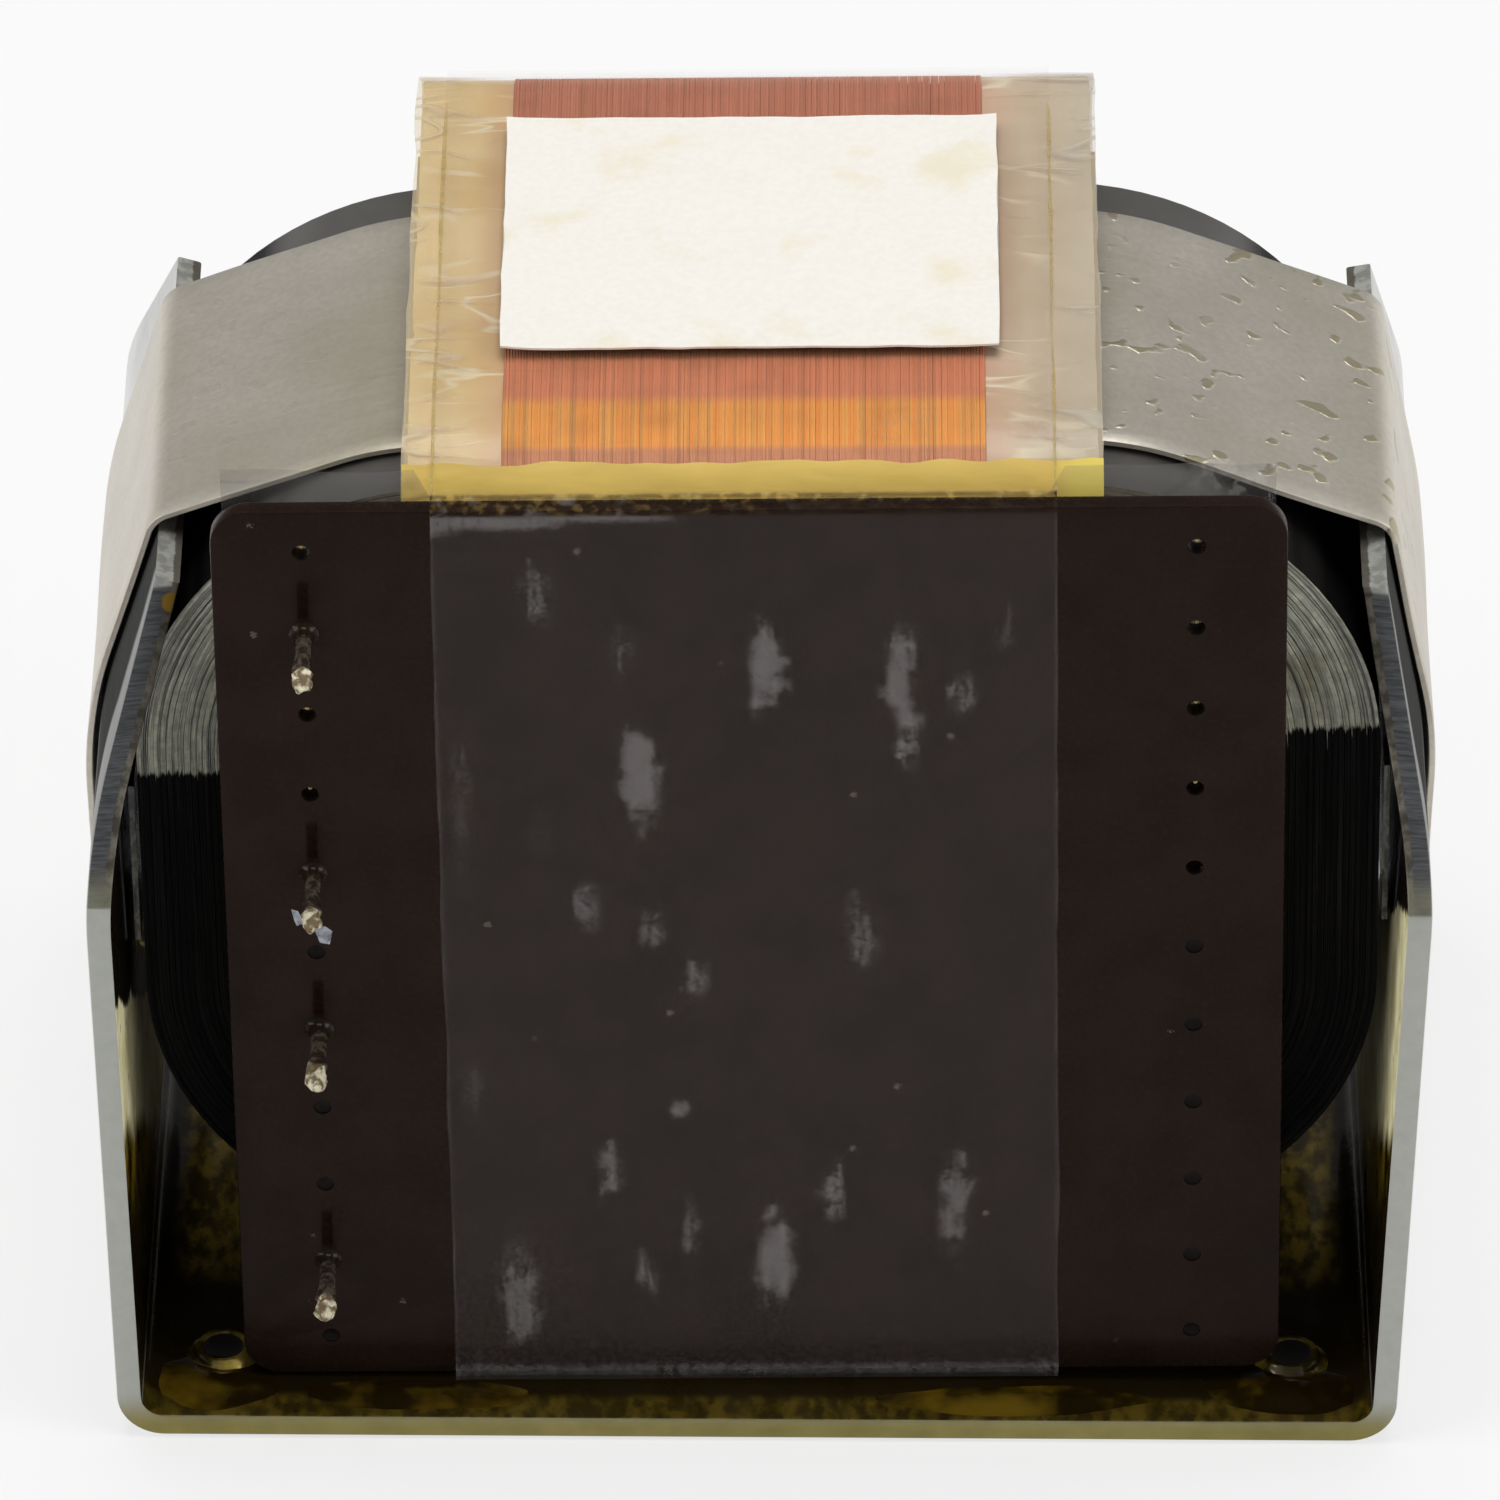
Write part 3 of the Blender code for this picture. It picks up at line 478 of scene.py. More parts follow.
def plate_line(side):
    """Middle line from the floor's centre up one plate, drawn as if on the right."""
    lean, curve_start = PLATES[side]
    radius = FOLD_RADIUS + SHEET / 2
    fold = (BASE_HALF_WIDTH - SHEET / 2 - radius, SHEET / 2 + radius)
    line = [Vector((0, SHEET / 2))] + arc(fold, radius, -math.pi / 2, -SPLAY, FOLD_STEPS)
    up = Vector((math.sin(SPLAY), math.cos(SPLAY)))
    foot = line[-1] + up * (curve_start - line[-1].y) / up.y
    line += arc(foot - polar(-SPLAY) * CURVE_RADIUS, CURVE_RADIUS, -SPLAY, lean, CURVE_STEPS)
    rise = Vector((-math.sin(lean), math.cos(lean)))
    outer = line[-1] + polar(lean) * SHEET / 2
    line.append(line[-1] + rise * (PLATE_TOP - outer.y) / rise.y)
    return line


def half_depth(height):
    return HALF_DEPTH - CUT_DEPTH * min(max((height - CUT_START) / (PLATE_TOP - CUT_START), 0), 1)


def split_at(line, height):
    """Add a point where the line passes a height."""
    points = [line[0]]
    for a, b in zip(line, line[1:]):
        if min(a.y, b.y) < height < max(a.y, b.y):
            points.append(a.lerp(b, (height - a.y) / (b.y - a.y)))
        points.append(b)
    return points


left_line, right_line = (split_at(plate_line(side), CUT_START) for side in ("left", "right"))
sheet_line = mirrored(left_line)[::-1] + right_line[1:]
print("bracket line points:", len(sheet_line))

# %% The folded sheet
EDGE_ROUND = 0.13
ROUNDING = ((0, 1), (0.3, 0.3), (1, 0))
FROM_INSIDE = (0, 0, 0.1, 0.9, 1, 1, 1, 1, 0.9, 0.1, 0, 0)
HOLES = [(sx * HOLE_X, sy * HOLE_Y) for sx in (-1, 1) for sy in (-1, 1)]
BORE = 1.05


def sheet_loops(line):
    """Cross sections of the sheet, with its four long edges rounded."""
    loops = []
    for middle, a, b in zip(line, *sides_of(line, SHEET)):
        depth = half_depth(middle.y)
        loop = []
        for sign, first, last in ((-1, a, b), (1, b, a)):
            ahead = (last - first).normalized() * EDGE_ROUND
            for corner, way, steps in ((first, 1, ROUNDING), (last, -1, ROUNDING[::-1])):
                loop += [(*(corner + ahead * way * u), sign * (depth - EDGE_ROUND * v)) for u, v in steps]
        loops.append([(x, y, z) for x, z, y in loop])
    return loops


bracket_finishes = [steel_outside, steel_edge, steel_varnished, collar_gold]
bracket = make_piece("folded_bracket", *loft(sheet_loops(sheet_line)), bracket_finishes)
store(bracket, "through", FROM_INSIDE * len(sheet_line))
drill(bracket, [loft([[(*p, z) for p in circle(c, BORE, 40)] for z in (-1, 4)]) for c in HOLES])
for face in bracket.data.polygons:
    x, y, z = face.center / MM
    n = face.normal
    on_edge = abs(n.y) > 0.4 or z > PLATE_TOP - 0.5
    in_bore = z < 3 and min(math.hypot(x - hx, y - hy) for hx, hy in HOLES) < BORE + 0.15
    inward = n.z > 0.3 if z < 3 else n.x * x < 0
    face.material_index = 3 if in_bore else (1 if on_edge else (2 if inward else 0))
smooth(bracket.data, SHARP)
settle(bracket, "plated_steel", "bracket")

# %% [markdown]
# The drawn collars round the four holes are all alike, which is what Geometry Nodes are for:
# one turned ring is placed on four points. The same small tree will place the solder pins.

# %% A tree that puts one shape on given points
def tree_inputs(**inputs):
    return dict(Geometry="Geometry", **inputs, Seed="Int", Finish="Material")


def finished(wire, material):
    real = wire.put("GeometryNodeRealizeInstances", Geometry=wire)[0]
    return dict(Geometry=wire.put("GeometryNodeSetMaterial", Geometry=real, Material=material)[0])


TREE_OUTPUT = dict(Geometry="Geometry")


@node_group(
    "place_on_points", "Geometry",
    tree_inputs(Shape="Object", Turn="Float", Swell="Float"), TREE_OUTPUT,
)
def placer(given):
    """One shape on each point, with a random turn and a random size."""
    points, seed = given["Geometry"], given["Seed"]
    turn, swell = (
        points.put("FunctionNodeRandomValue", Min_001=limit * -1, Max_001=limit, Seed=seed)[1]
        for limit in (given["Turn"], given["Swell"])
    )
    shape = points.put("GeometryNodeObjectInfo", Object=given["Shape"])["Geometry"]
    spin = points.put("ShaderNodeCombineXYZ", Y=turn)[0]
    copies = points.put(
        "GeometryNodeInstanceOnPoints", Points=points, Instance=shape, Rotation=spin, Scale=swell + 1,
    )
    return finished(copies[0], given["Finish"])


def run_tree(name, points, tree, **values):
    """Run a tree on a mesh of loose points and keep the result as one plain piece."""
    mesh = bpy.data.meshes.new(name)
    mesh.from_pydata([Vector(p) * MM for p in points], [], [])
    piece = add_object(name, mesh)
    modifier = piece.modifiers.new(name, "NODES")
    modifier.node_group = tree
    for item in tree.interface.items_tree:
        if item.in_out == "INPUT" and item.name in values:
            modifier[item.identifier] = values[item.name]
    bake(piece)
    smooth(piece.data, 40)
    return piece


def turned(profile, steps, material):
    """A ring or rod turned from (radius, height) points in mm; it stands out to the front."""
    turns = [polar(2 * math.pi * i / steps) for i in range(steps)]
    loops = [[(r * t.x, -h, r * t.y) for r, h in profile] for t in turns]
    return make_piece("turned_shape", *loft(loops, ring=True), material)


def place_turned(name, points, profile, steps, material, slot, upright=False, **values):
    """Turn a profile, put it on the points and settle it as one piece."""
    shape = turned(profile, steps, material)
    if upright:
        shape.data.transform(Matrix.Rotation(math.pi / 2, 4, "X").inverted())
    settle(run_tree(name, points, placer, Shape=shape, Finish=material, **values), slot)
    bpy.data.objects.remove(shape)


# %% Collars round the four holes
COLLAR = [
    (1.05, 0.9), (1.07, 1.92), (1.16, 2.0), (1.36, 2.0), (1.46, 1.9), (1.52, 1.7),
    (1.6, 1.5), (1.78, 1.34), (2.1, 1.27), (2.2, 1.1), (1.5, 0.9),
]
place_turned(
    "hole_collars", [(x, y, 0) for x, y in HOLES], COLLAR, 40, collar_gold, "plated_steel",
    upright=True, Turn=0.0, Swell=0.0, Seed=1,
)

# %% [markdown]
# ## The clamp band
# A thin steel strip lies on the core, leaves it in a straight run on each side and is bent
# down over the plate's upper edge. It was pulled straight, so its faces are calm, with a
# few drops of yellow varnish.

# %% Finish of the band
@finish("band_steel", Metallic=0.6)
def band_finish(place):
    x, _, z = place.axes()
    marks = place.group(lines, Stretch=(250, 9000, 250))
    colour = place.noise(110, 2).fade(0.3, 0.7).mix((0.57, 0.525, 0.45), (0.65, 0.605, 0.53))
    colour = place.noise(2600, 2).fade(0.3, 0.7, 0.25, 0).mix(colour, (0.40, 0.36, 0.30))
    colour = place.noise(75, 2).fade(0.45, 0.7, 0, 0.4).mix(colour, (0.46, 0.42, 0.28))
    zone = x * 8 + place.noise(140, 2)
    drops = place.scaled((620, 780, 620)).noise(1, 1.5, 0.4).fade(0.62, 0.68)
    spots = drops * zone.fade(0.5, 0.7, 0.1, 1) * z.fade(0.041, 0.049, 0.2, 1)
    colour = (spots * 0.6).mix(colour, (0.30, 0.25, 0.11))
    rough = marks["Tone"].fade(0, 1, 0.36, 0.44)
    height = spots * 1.6 + marks["Height"] * 0.12
    return dict(Base_Color=colour, Roughness=rough, Normal=height.bump(0.5, 0.00015))


# %% Shape of the band
BAND, BAND_HALF, BAND_BEND, BAND_FOOT = 0.35, 10.7, 1.6, 14.0
CORE_RADIUS, ARC_X, ARC_Z, CORE_HALF_HEIGHT = 16.8, 15.7, 7.44, 24.24
FILM_GAP, SEAT_GAP = 0.2, 0.25


def band_half(side, tilt):
    """Middle line of half the band, from the core's top down beside one plate."""
    lean, _ = PLATES[side]
    turn, middle = Matrix.Rotation(tilt, 2), Vector((0, CORE_CENTRE_Z))
    top = turn @ Vector((0, CORE_HALF_HEIGHT + FILM_GAP + BAND / 2)) + middle
    core = turn @ Vector((ARC_X, ARC_Z)) + middle
    plate = plate_line(side)
    beside = SEAT_GAP + BAND / 2
    inset = BAND_BEND - beside
    drop = math.sqrt((BAND_BEND - BAND / 2 - FILM_GAP) ** 2 - inset**2)
    down = Vector((math.sin(lean), -math.cos(lean)))
    bend = plate[-1] + polar(lean) * (SHEET / 2 - inset) + down * drop
    span = bend - core
    reach = CORE_RADIUS + FILM_GAP + BAND / 2
    leave = math.atan2(span.y, span.x) + math.acos((reach - BAND_BEND) / span.length)
    line = [top] + arc(core, reach, math.pi / 2 + tilt, leave, 14) + arc(bend, BAND_BEND, leave, lean, 10)
    centre = plate[-2 - CURVE_STEPS] - polar(-SPLAY) * CURVE_RADIUS
    line += arc(centre, CURVE_RADIUS + SHEET / 2 + beside, lean, -SPLAY, 12)
    fall = Vector((-math.sin(SPLAY), -math.cos(SPLAY)))
    line.append(line[-1] + fall * (line[-1].y - BAND_FOOT) / -fall.y)
    return line


band_line = resampled(mirrored(band_half("left", -TILT))[::-1] + band_half("right", TILT)[1:], 2.0)
upper_side, lower_side = sides_of(band_line, BAND)
middle = [(a + b) / 2 for a, b in zip(upper_side, lower_side)]
outline = list(zip(upper_side + lower_side[::-1], middle + middle[::-1]))
RIM = BAND_HALF - 0.06
loops = []
for y in [-BAND_HALF, -RIM] + spread(-9.5, 9.5, 16) + [RIM, BAND_HALF]:
    shrink = 0.72 if abs(y) == BAND_HALF else 1.0
    loop = []
    for k, (p, c) in enumerate(outline):
        q = c + (p - c) * shrink
        ripple = 0.05 * wobble(c.x, y, c.y, 9.0, 2.0)
        edge = 0.10 * wobble(c.x, 0, c.y, 6.0, 5.0 + (y > 0)) if abs(y) > 9.6 else 0
        out = (p - c).normalized() * (1 if k < len(middle) else -1)
        loop.append((q.x + out.x * ripple, y + edge, q.y + out.y * ripple))
    loops.append(loop)
settle(make_piece("clamp_strip", *loft(loops), band_finish, angle=50), "band_steel", "clamp_band")

# %% [markdown]
# ## The strip-wound core
# Silicon steel strip is wound on a mandrel, bonded and cut in two. Its face is the edges of
# some hundred turns, which catch the light as silky streaks along the curve. The lower part
# is coloured a glossy near black, and under the band the outer turn is painted black as shade.
# Each C is lofted round its path, and a point attribute keeps how far along and how deep in
# the strip each point is, so that the streaks can follow.

# %% Finish of the core
@finish("wound_core_strip", Specular_IOR_Level=0.06)
def core_finish(place):
    x, _, z = place.axes()
    length, depth, _ = place.stored("strip", "Vector").axes()
    along = place.put("ShaderNodeCombineXYZ", X=length * 0.035, Y=depth * 3.2)[0]
    tone = along.scaled((4, 5, 1)).noise(1, 4, 0.7) * 0.55 + along.noise(1, 6, 0.72, 0.3) * 0.65
    colour = tone.fade(0.47, 0.64).mix((0.05, 0.054, 0.062), (0.60, 0.595, 0.49))
    colour = (tone.fade(0.64, 0.74) * depth.fade(0.5, 5, 0.35, 1)).mix(colour, (0.85, 0.78, 0.55))
    colour = place.noise(2400, 2).fade(0.35, 0.65, 0.35, 0).mix(colour, (0.17, 0.17, 0.155))
    colour = place.noise(220, 2).fade(0.52, 0.72, 0, 0.7).mix(colour, (0.26, 0.23, 0.14))
    # Below a jagged, dripping line the face is coloured a glossy near black.
    jag = along.scaled((0.25, 0.8, 1)).noise(1, 6, 0.75)
    drip = along.scaled((0.1, 2.4, 1)).noise(1, 1).fade(0.62, 0.72, 0, 0.0022) * x.fade(0, 0.02, 0.15, 1)
    limit = x * 0.055 + 0.0388 - drip
    black = (jag * 0.0026 + z - limit).fade(-0.00012, 0.00012, 1, 0)
    outer_turn = depth.math("LESS_THAN", 0.05)
    plain = place.noise(500).mix((0.20, 0.19, 0.18), (0.27, 0.26, 0.245))
    colour = outer_turn.mix(colour, plain)
    # Painted shade: towards the sides, under the band, the outermost turn is painted black.
    black = black.math("MAXIMUM", outer_turn * abs(x).fade(0.0245, 0.027))
    varnish = tone.fade(0.55, 0.8).mix((0.003, 0.003, 0.003), (0.022, 0.020, 0.019))
    return dict(
        Base_Color=black.mix(colour, varnish), Roughness=black * -0.12 + 0.38,
        Metallic=black * -0.83 + 0.85, Normal=tone.bump(0.5, 0.0002),
    )


# %% Shape of the core halves
BUILD, CORE_FACE, LAYERS, LEG_END = 14.0, 14.03, 44, 0.35
QUARTER = math.pi / 2


def core_half(name, side, node):
    layer = BUILD / LAYERS
    section = []
    for i in range(LAYERS):
        y = CORE_FACE - 0.045 * (1 + wobble(i * 1.7, 0, 0, 1.0, 3.0)) - 0.02 * (i % 2)
        section += [(i * layer + 0.02, y), ((i + 1) * layer - 0.02, y), ((i + 1) * layer, y - 0.07)]
    section = [(d, -y) for d, y in section] + [(d, y) for d, y in section[::-1]]
    stations = [(ARC_Z, QUARTER, LEG_END)]
    for centre_z, first in ((ARC_Z, QUARTER), (-ARC_Z, 0)):
        stations += [(centre_z, a, None) for a in spread(first, first - QUARTER, 22)]
    stations.append((-ARC_Z, -QUARTER, LEG_END))
    loops, marks, length, last = [], [], 0.0, None
    for centre_z, angle, at_x in stations:
        centre, out = Vector((ARC_X, centre_z)), polar(angle)
        middle = centre + out * (CORE_RADIUS - BUILD / 2)
        middle.x = at_x or middle.x
        length += (middle - last).length if last else 0
        last = middle
        loop = []
        for depth, y in section:
            spot = centre + out * (CORE_RADIUS - depth)
            loop.append((side * (at_x or spot.x), y, spot.y))
            marks.append((length + 300 * (side > 0), depth, 0.0))
        loops.append(loop)
    piece = make_piece(name, *loft(loops), core_finish, wound=True, angle=30)
    store(piece, "strip", marks, "FLOAT_VECTOR", "vector")
    settle(piece, "core_strip", node)


core_half("core_left", -1, "core_half_left")
core_half("core_right", 1, "core_half_right")

# %% [markdown]
# ## The coils
# Thousands of turns of fine enamelled copper are laid side by side, with a film after each
# layer that is wider than the copper. The outer layer's turns are made with Geometry Nodes:
# one rounded turn is copied along a line, each with a number of its own for its tone.

# %% A tree that winds one layer
SIZES = dict.fromkeys(("Width", "Height", "Corner", "Wire", "Looseness"), "Float")


@node_group("wind_one_layer", "Geometry", tree_inputs(**SIZES), TREE_OUTPUT)
def winder(given):
    points, seed = given["Geometry"], given["Seed"]
    add = points.put
    path = add("GeometryNodeCurvePrimitiveQuadrilateral", Width=given["Width"], Height=given["Height"])[0]
    path = add("GeometryNodeFilletCurve", {"mode": "POLY"}, Curve=path, Radius=given["Corner"], Count=7)[0]
    wire = add("GeometryNodeCurvePrimitiveCircle", Resolution=6, Radius=given["Wire"])[0]
    turn = add("GeometryNodeCurveToMesh", Curve=path, Profile_Curve=wire)[0]
    slack = add("ShaderNodeCombineXYZ", X=given["Looseness"])[0]
    back = add("ShaderNodeVectorMath", {"operation": "SCALE"}, Vector=slack, Scale=-1)[0]
    slide = add("FunctionNodeRandomValue", {"data_type": "FLOAT_VECTOR"}, Min=back, Max=slack, Seed=seed)[0]
    places = add("GeometryNodeSetPosition", Geometry=points, Offset=slide)[0]
    upright = (math.pi / 2, 0, math.pi / 2)
    turns = add("GeometryNodeInstanceOnPoints", Points=places, Instance=turn, Rotation=upright)[0]
    tone = add("FunctionNodeRandomValue", Seed=seed)[1]
    kept = {"domain": "INSTANCE", "data_type": "FLOAT"}
    turns = add("GeometryNodeStoreNamedAttribute", kept, Name="turn_tone", Geometry=turns, Value=tone)[0]
    return finished(turns, given["Finish"])


@finish("enamelled_copper", Metallic=0.3, Roughness=0.45, Specular_IOR_Level=0.3)
def copper(place):
    tone, y = place.stored("turn_tone"), place.axes()[1]
    rosy = tone.mix((0.58, 0.205, 0.13), (0.70, 0.265, 0.17))
    warm = tone.mix((0.74, 0.245, 0.125), (0.89, 0.32, 0.17))
    # Painted highlight: where the front corner turns toward the light, the copper is painted bright orange.
    front_highlight = tone.mix((0.98, 0.35, 0.07), (1.0, 0.50, 0.13))
    colour = y.fade(-0.009, 0.006, 1, 0).mix(rosy, warm)
    colour = y.fade(-0.0131, -0.0118, 1, 0).mix(colour, front_highlight)
    colour = y.fade(-0.0163, -0.0158, 1, 0).mix(colour, (0.70, 0.30, 0.17))
    colour = tone.fade(0.72, 0.98, 0, 0.4).mix(colour, (0.28, 0.10, 0.055))
    return dict(Base_Color=place.noise(300).fade(0.45, 0.75, 0, 0.25).mix(colour, (0.34, 0.12, 0.06)))


# %% The outer turns
BORE_HALF_Y, BORE_HALF_Z, BORE_CORNER = 14.33, 8.266, 0.6
COIL_Z = {"upper": 17.123, "lower": -16.224}
FILM_START, COPPER_START, COPPER_END, WRAP_START, WRAP_END = 0.9, 1.3, 2.9, 3.23, 3.3
FRONT_BULGE, BACK_BULGE = 1.48, 4.0
COPPER_X, COPPER_HALF, TURNS = -0.45, 12.4, 165


def coil_shape(height):
    """Front, back and upper reach and corner radius of a layer at a height over the bore."""
    slack = min(max((height - COPPER_START) / (COPPER_END - COPPER_START), 0), 1)
    front = BORE_HALF_Y + height + slack * FRONT_BULGE
    back = BORE_HALF_Y + height + slack * BACK_BULGE
    return front, back, BORE_HALF_Z + height, BORE_CORNER + height + slack * FRONT_BULGE


pitch = 2 * COPPER_HALF / TURNS
line = [(COPPER_X - COPPER_HALF + pitch * (i + 0.5), 0, 0) for i in range(TURNS)]
front, back, half_z, corner = coil_shape(COPPER_END + 0.22)
for which, z in COIL_Z.items():
    turns = run_tree(
        f"outer_turns_{which}", line, winder, Width=(front + back) * MM, Height=2 * half_z * MM,
        Corner=corner * MM, Wire=0.085 * MM, Looseness=0.012 * MM, Seed=3, Finish=copper,
    )
    shift = Matrix.Translation((0, (back - front) / 2, z))
    turns.data.transform(Matrix.Scale(MM, 4) @ WOUND @ shift @ Matrix.Scale(1 / MM, 4))
    settle(turns, "copper_wire")

# %% [markdown]
# The films' margins stand out beyond the copper on both sides. They are limp, so their ends
# wander and the top ones are creased. A belt is lofted round the coil: its cross section
# runs along X and its ends and faces are moved by smooth noise.

# %% Belts round a coil
def coil_path(height, centre_z):
    """Closed path round a coil in the YZ plane; every height gives the same number of points."""
    front, back, half_z, radius = coil_shape(height)
    turns = []
    rear, fore = back - radius, radius - front
    for k, (y, way) in enumerate(((rear, 1), (fore, 1), (fore, -1), (rear, -1))):
        turns.append(arc((y, centre_z + way * (half_z - radius)), radius, k * QUARTER, (k + 1) * QUARTER, 10))
    points = []
    for k, turn in enumerate(turns):
        following, steps = turns[(k + 1) % 4][0], 7 if k % 2 else 16
        points += turn + [turn[-1].lerp(following, i / steps) for i in range(1, steps)]
    return points


def belt(name, inner, outer, stations, material, ripple, edge, seed, step=3.0):
    """Closed belt between two paths of equal length, with wavy ends at its first and last x."""
    first, last = stations[0], stations[-1]
    loops = []
    for a, b in zip(inner, outer):
        out = (b - a).normalized()
        loop = []
        for path, row in ((a, stations), (b, stations[::-1])):
            for x in row:
                rim = max(0.0, 1 - min(x - first, last - x) / 2.5)
                lift = ripple * (0.3 + rim) * wobble(x, path.x, path.y, step, seed)
                slide = edge * rim * rim * wobble(0, path.x, path.y, step, seed + (x > 0))
                loop.append((x + slide, path.x + out.x * lift, path.y + out.y * lift))
        loops.append(loop)
    return make_piece(name, *loft(loops, ring=True), material, wound=True, angle=60)


# %% Finishes of the films
@finish("cream_film", Roughness=0.4, Coat_Weight=0.3, Coat_Roughness=0.2)
def cream(place):
    across = place.stored("across")
    fold = place.group(creases, Scale=300)
    cloud = place.noise(160).fade(0.35, 0.65)
    left = cloud.mix((0.76, 0.56, 0.22), (0.92, 0.73, 0.38))
    right = cloud.mix((0.65, 0.53, 0.36), (0.77, 0.65, 0.48))
    near = abs(across - COPPER_X).fade(12.4, 15, 0.6, 0)
    colour = near.mix(across.fade(-1, 1).mix(left, right), (0.60, 0.32, 0.21))
    # Painted highlight: the crease lines on the margins are painted pale cream, as light caught by the folds.
    colour = (fold["Line"] * abs(across).fade(17.50, 17.58, 0.7, 0)).mix(colour, (0.97, 0.90, 0.66))
    return dict(Base_Color=colour, Normal=fold["Height"].bump(0.3, 0.0004))


@finish("outer_clear_film", Roughness=0.25, Specular_IOR_Level=0.3)
def film(place):
    fold = place.group(creases, Scale=260)
    across = place.stored("across")
    rim = abs(across - COPPER_X).fade(12.5, 17.6)
    alpha = rim * 0.26 + 0.02 + fold["Line"] * (rim * 0.4 + 0.03)
    margin = across.fade(-1, 1).mix((0.74, 0.62, 0.40), (0.62, 0.56, 0.45))
    colour = rim.mix((0.75, 0.50, 0.40), margin)
    return dict(Base_Color=colour, Alpha=alpha, Normal=fold["Height"].bump(0.4, 0.0004))


# %% Film margins and outer film
FILM_HALF, WRAP_HALF, FILM_LAYERS = 17.75, 17.95, 9


def film_stack(which, side, way, seed):
    """The films' ends beyond the copper, a stack whose layers end at slightly different places."""
    free, inner = way * FILM_HALF, COPPER_X + way * (COPPER_HALF + 0.01)
    levels = spread(FILM_START, COPPER_END + 0.2, FILM_LAYERS)
    paths = [coil_path(level, COIL_Z[which]) for level in levels]
    loops = []
    for k in range(len(paths[0])):
        loop = [(inner, *paths[0][k])]
        for i in range(FILM_LAYERS):
            y, z = paths[i + 1][k]
            end = free - way * (0.10 + 0.07 * wobble(9.0 * i, y, z, 4.0, seed))
            loop += [(end, *paths[i][k]), (end, *paths[i + 1][k])]
        top, out = paths[-1][k], (paths[-1][k] - paths[-2][k]).normalized()
        for x in spread(end, inner, 7)[1:]:
            lift = 0.10 * max(0.0, 1 - abs(x - end) / 2.5) * wobble(x, *top, 2.6, seed + 1)
            loop.append((x, top.x + out.x * lift, top.y + out.y * lift))
        loops.append(loop)
    name = f"film_margin_{which}_{side}"
    piece = make_piece(name, *loft(loops, ring=True), cream, wound=True, angle=60)
    settle(piece, "amber_film", f"layer_films_{which}")


for which, z in COIL_Z.items():
    film_stack(which, "left", -1, 4.0)
    film_stack(which, "right", 1, 6.0)
    inner, outer = coil_path(WRAP_START, z), coil_path(WRAP_END, z)
    columns = spread(-WRAP_HALF, WRAP_HALF, 24)
    wrap = belt(f"outer_wrap_{which}", inner, outer, columns, film, ripple=0.04, edge=0.08, seed=2.5)
    settle(wrap, "amber_film", f"outer_film_{which}")

# %% [markdown]
# ## Yellow sheet
# A stiff yellow sheet keeps the coils from the board. Its top is bent over the coil's corner
# and shows above the board.

# %% Yellow sheet
@finish("yellow_sheet", Roughness=0.35, Coat_Weight=0.4, Coat_Roughness=0.1)
def yellow(place):
    cloud = place.scaled((120, 400, 400)).noise(1, 4, 0.6)
    colour = cloud.fade(0.35, 0.65).mix((0.68, 0.47, 0.10), (0.80, 0.56, 0.13))
    colour = place.axes()[0].fade(0.0145, 0.0165).mix(colour, (0.86, 0.69, 0.12))
    return dict(Base_Color=colour, Normal=cloud.bump(0.3, 0.0002))


COIL_FRONT, COIL_BACK, COIL_TOP, COIL_BOTTOM, COIL_CORNER = -19.11, 21.63, 28.69, -27.79, 5.38
YELLOW_RADIUS, YELLOW_SHEET, YELLOW_BEND = COIL_CORNER + 0.325, 0.25, math.radians(53)
COIL_BEND = Vector((COIL_FRONT + COIL_CORNER, COIL_TOP - COIL_CORNER))
foot = Vector((COIL_BEND.x - YELLOW_RADIUS, COIL_BOTTOM + 2.7))
sheet_path = resampled([foot] + arc(COIL_BEND, YELLOW_RADIUS, math.pi, math.pi - YELLOW_BEND, 14), 3.0)
near_side, far_side = sides_of(sheet_path, YELLOW_SHEET)
direction = (sheet_path[-1] - sheet_path[-2]).normalized()
loops = []
for x in spread(-WRAP_HALF, WRAP_HALF, 60):
    slip = direction * 0.12 * wobble(x, 0, 0, 2.0, 6.0)
    side_points = near_side[:-1] + [near_side[-1] + slip, far_side[-1] + slip] + far_side[-2::-1]
    loops.append([(x, *p) for p in side_points])
sheet = make_piece("yellow_insulation", *loft(loops), yellow, wound=True, angle=50)
settle(sheet, "yellow_sheet", "front_insulation")

# %% [markdown]
# ## Terminal board
# A stamped board of brown phenolic, with two columns of eleven holes. It is dusty and
# lightly scratched. Its holes are real, cut with one many-holed cutter.

# %% Finish of the board
BOARD_X, BOARD_HALF, BOARD_TOP, BOARD_BOTTOM, BOARD_CORNER = -0.2, 27.5, 27.72, -28.15, 2.0
BOARD_FRONT, BOARD_BACK = -21.12, -20.08
HOLE_SPACING, HOLE_PITCH, HOLE_MIDDLE = 45.72, 5.08, -0.215
PINNED = (2, 5, 7, 10)


def hole(column, number):
    return Vector((BOARD_X + column * HOLE_SPACING / 2, HOLE_MIDDLE + (6 - number) * HOLE_PITCH))


def on_face(c, rise=0.0):
    """A place on the board's face, in the bracket's frame."""
    return WOUND @ Vector((c.x, BOARD_FRONT, c.y + rise))


PINS = [hole(-1, number) for number in PINNED]


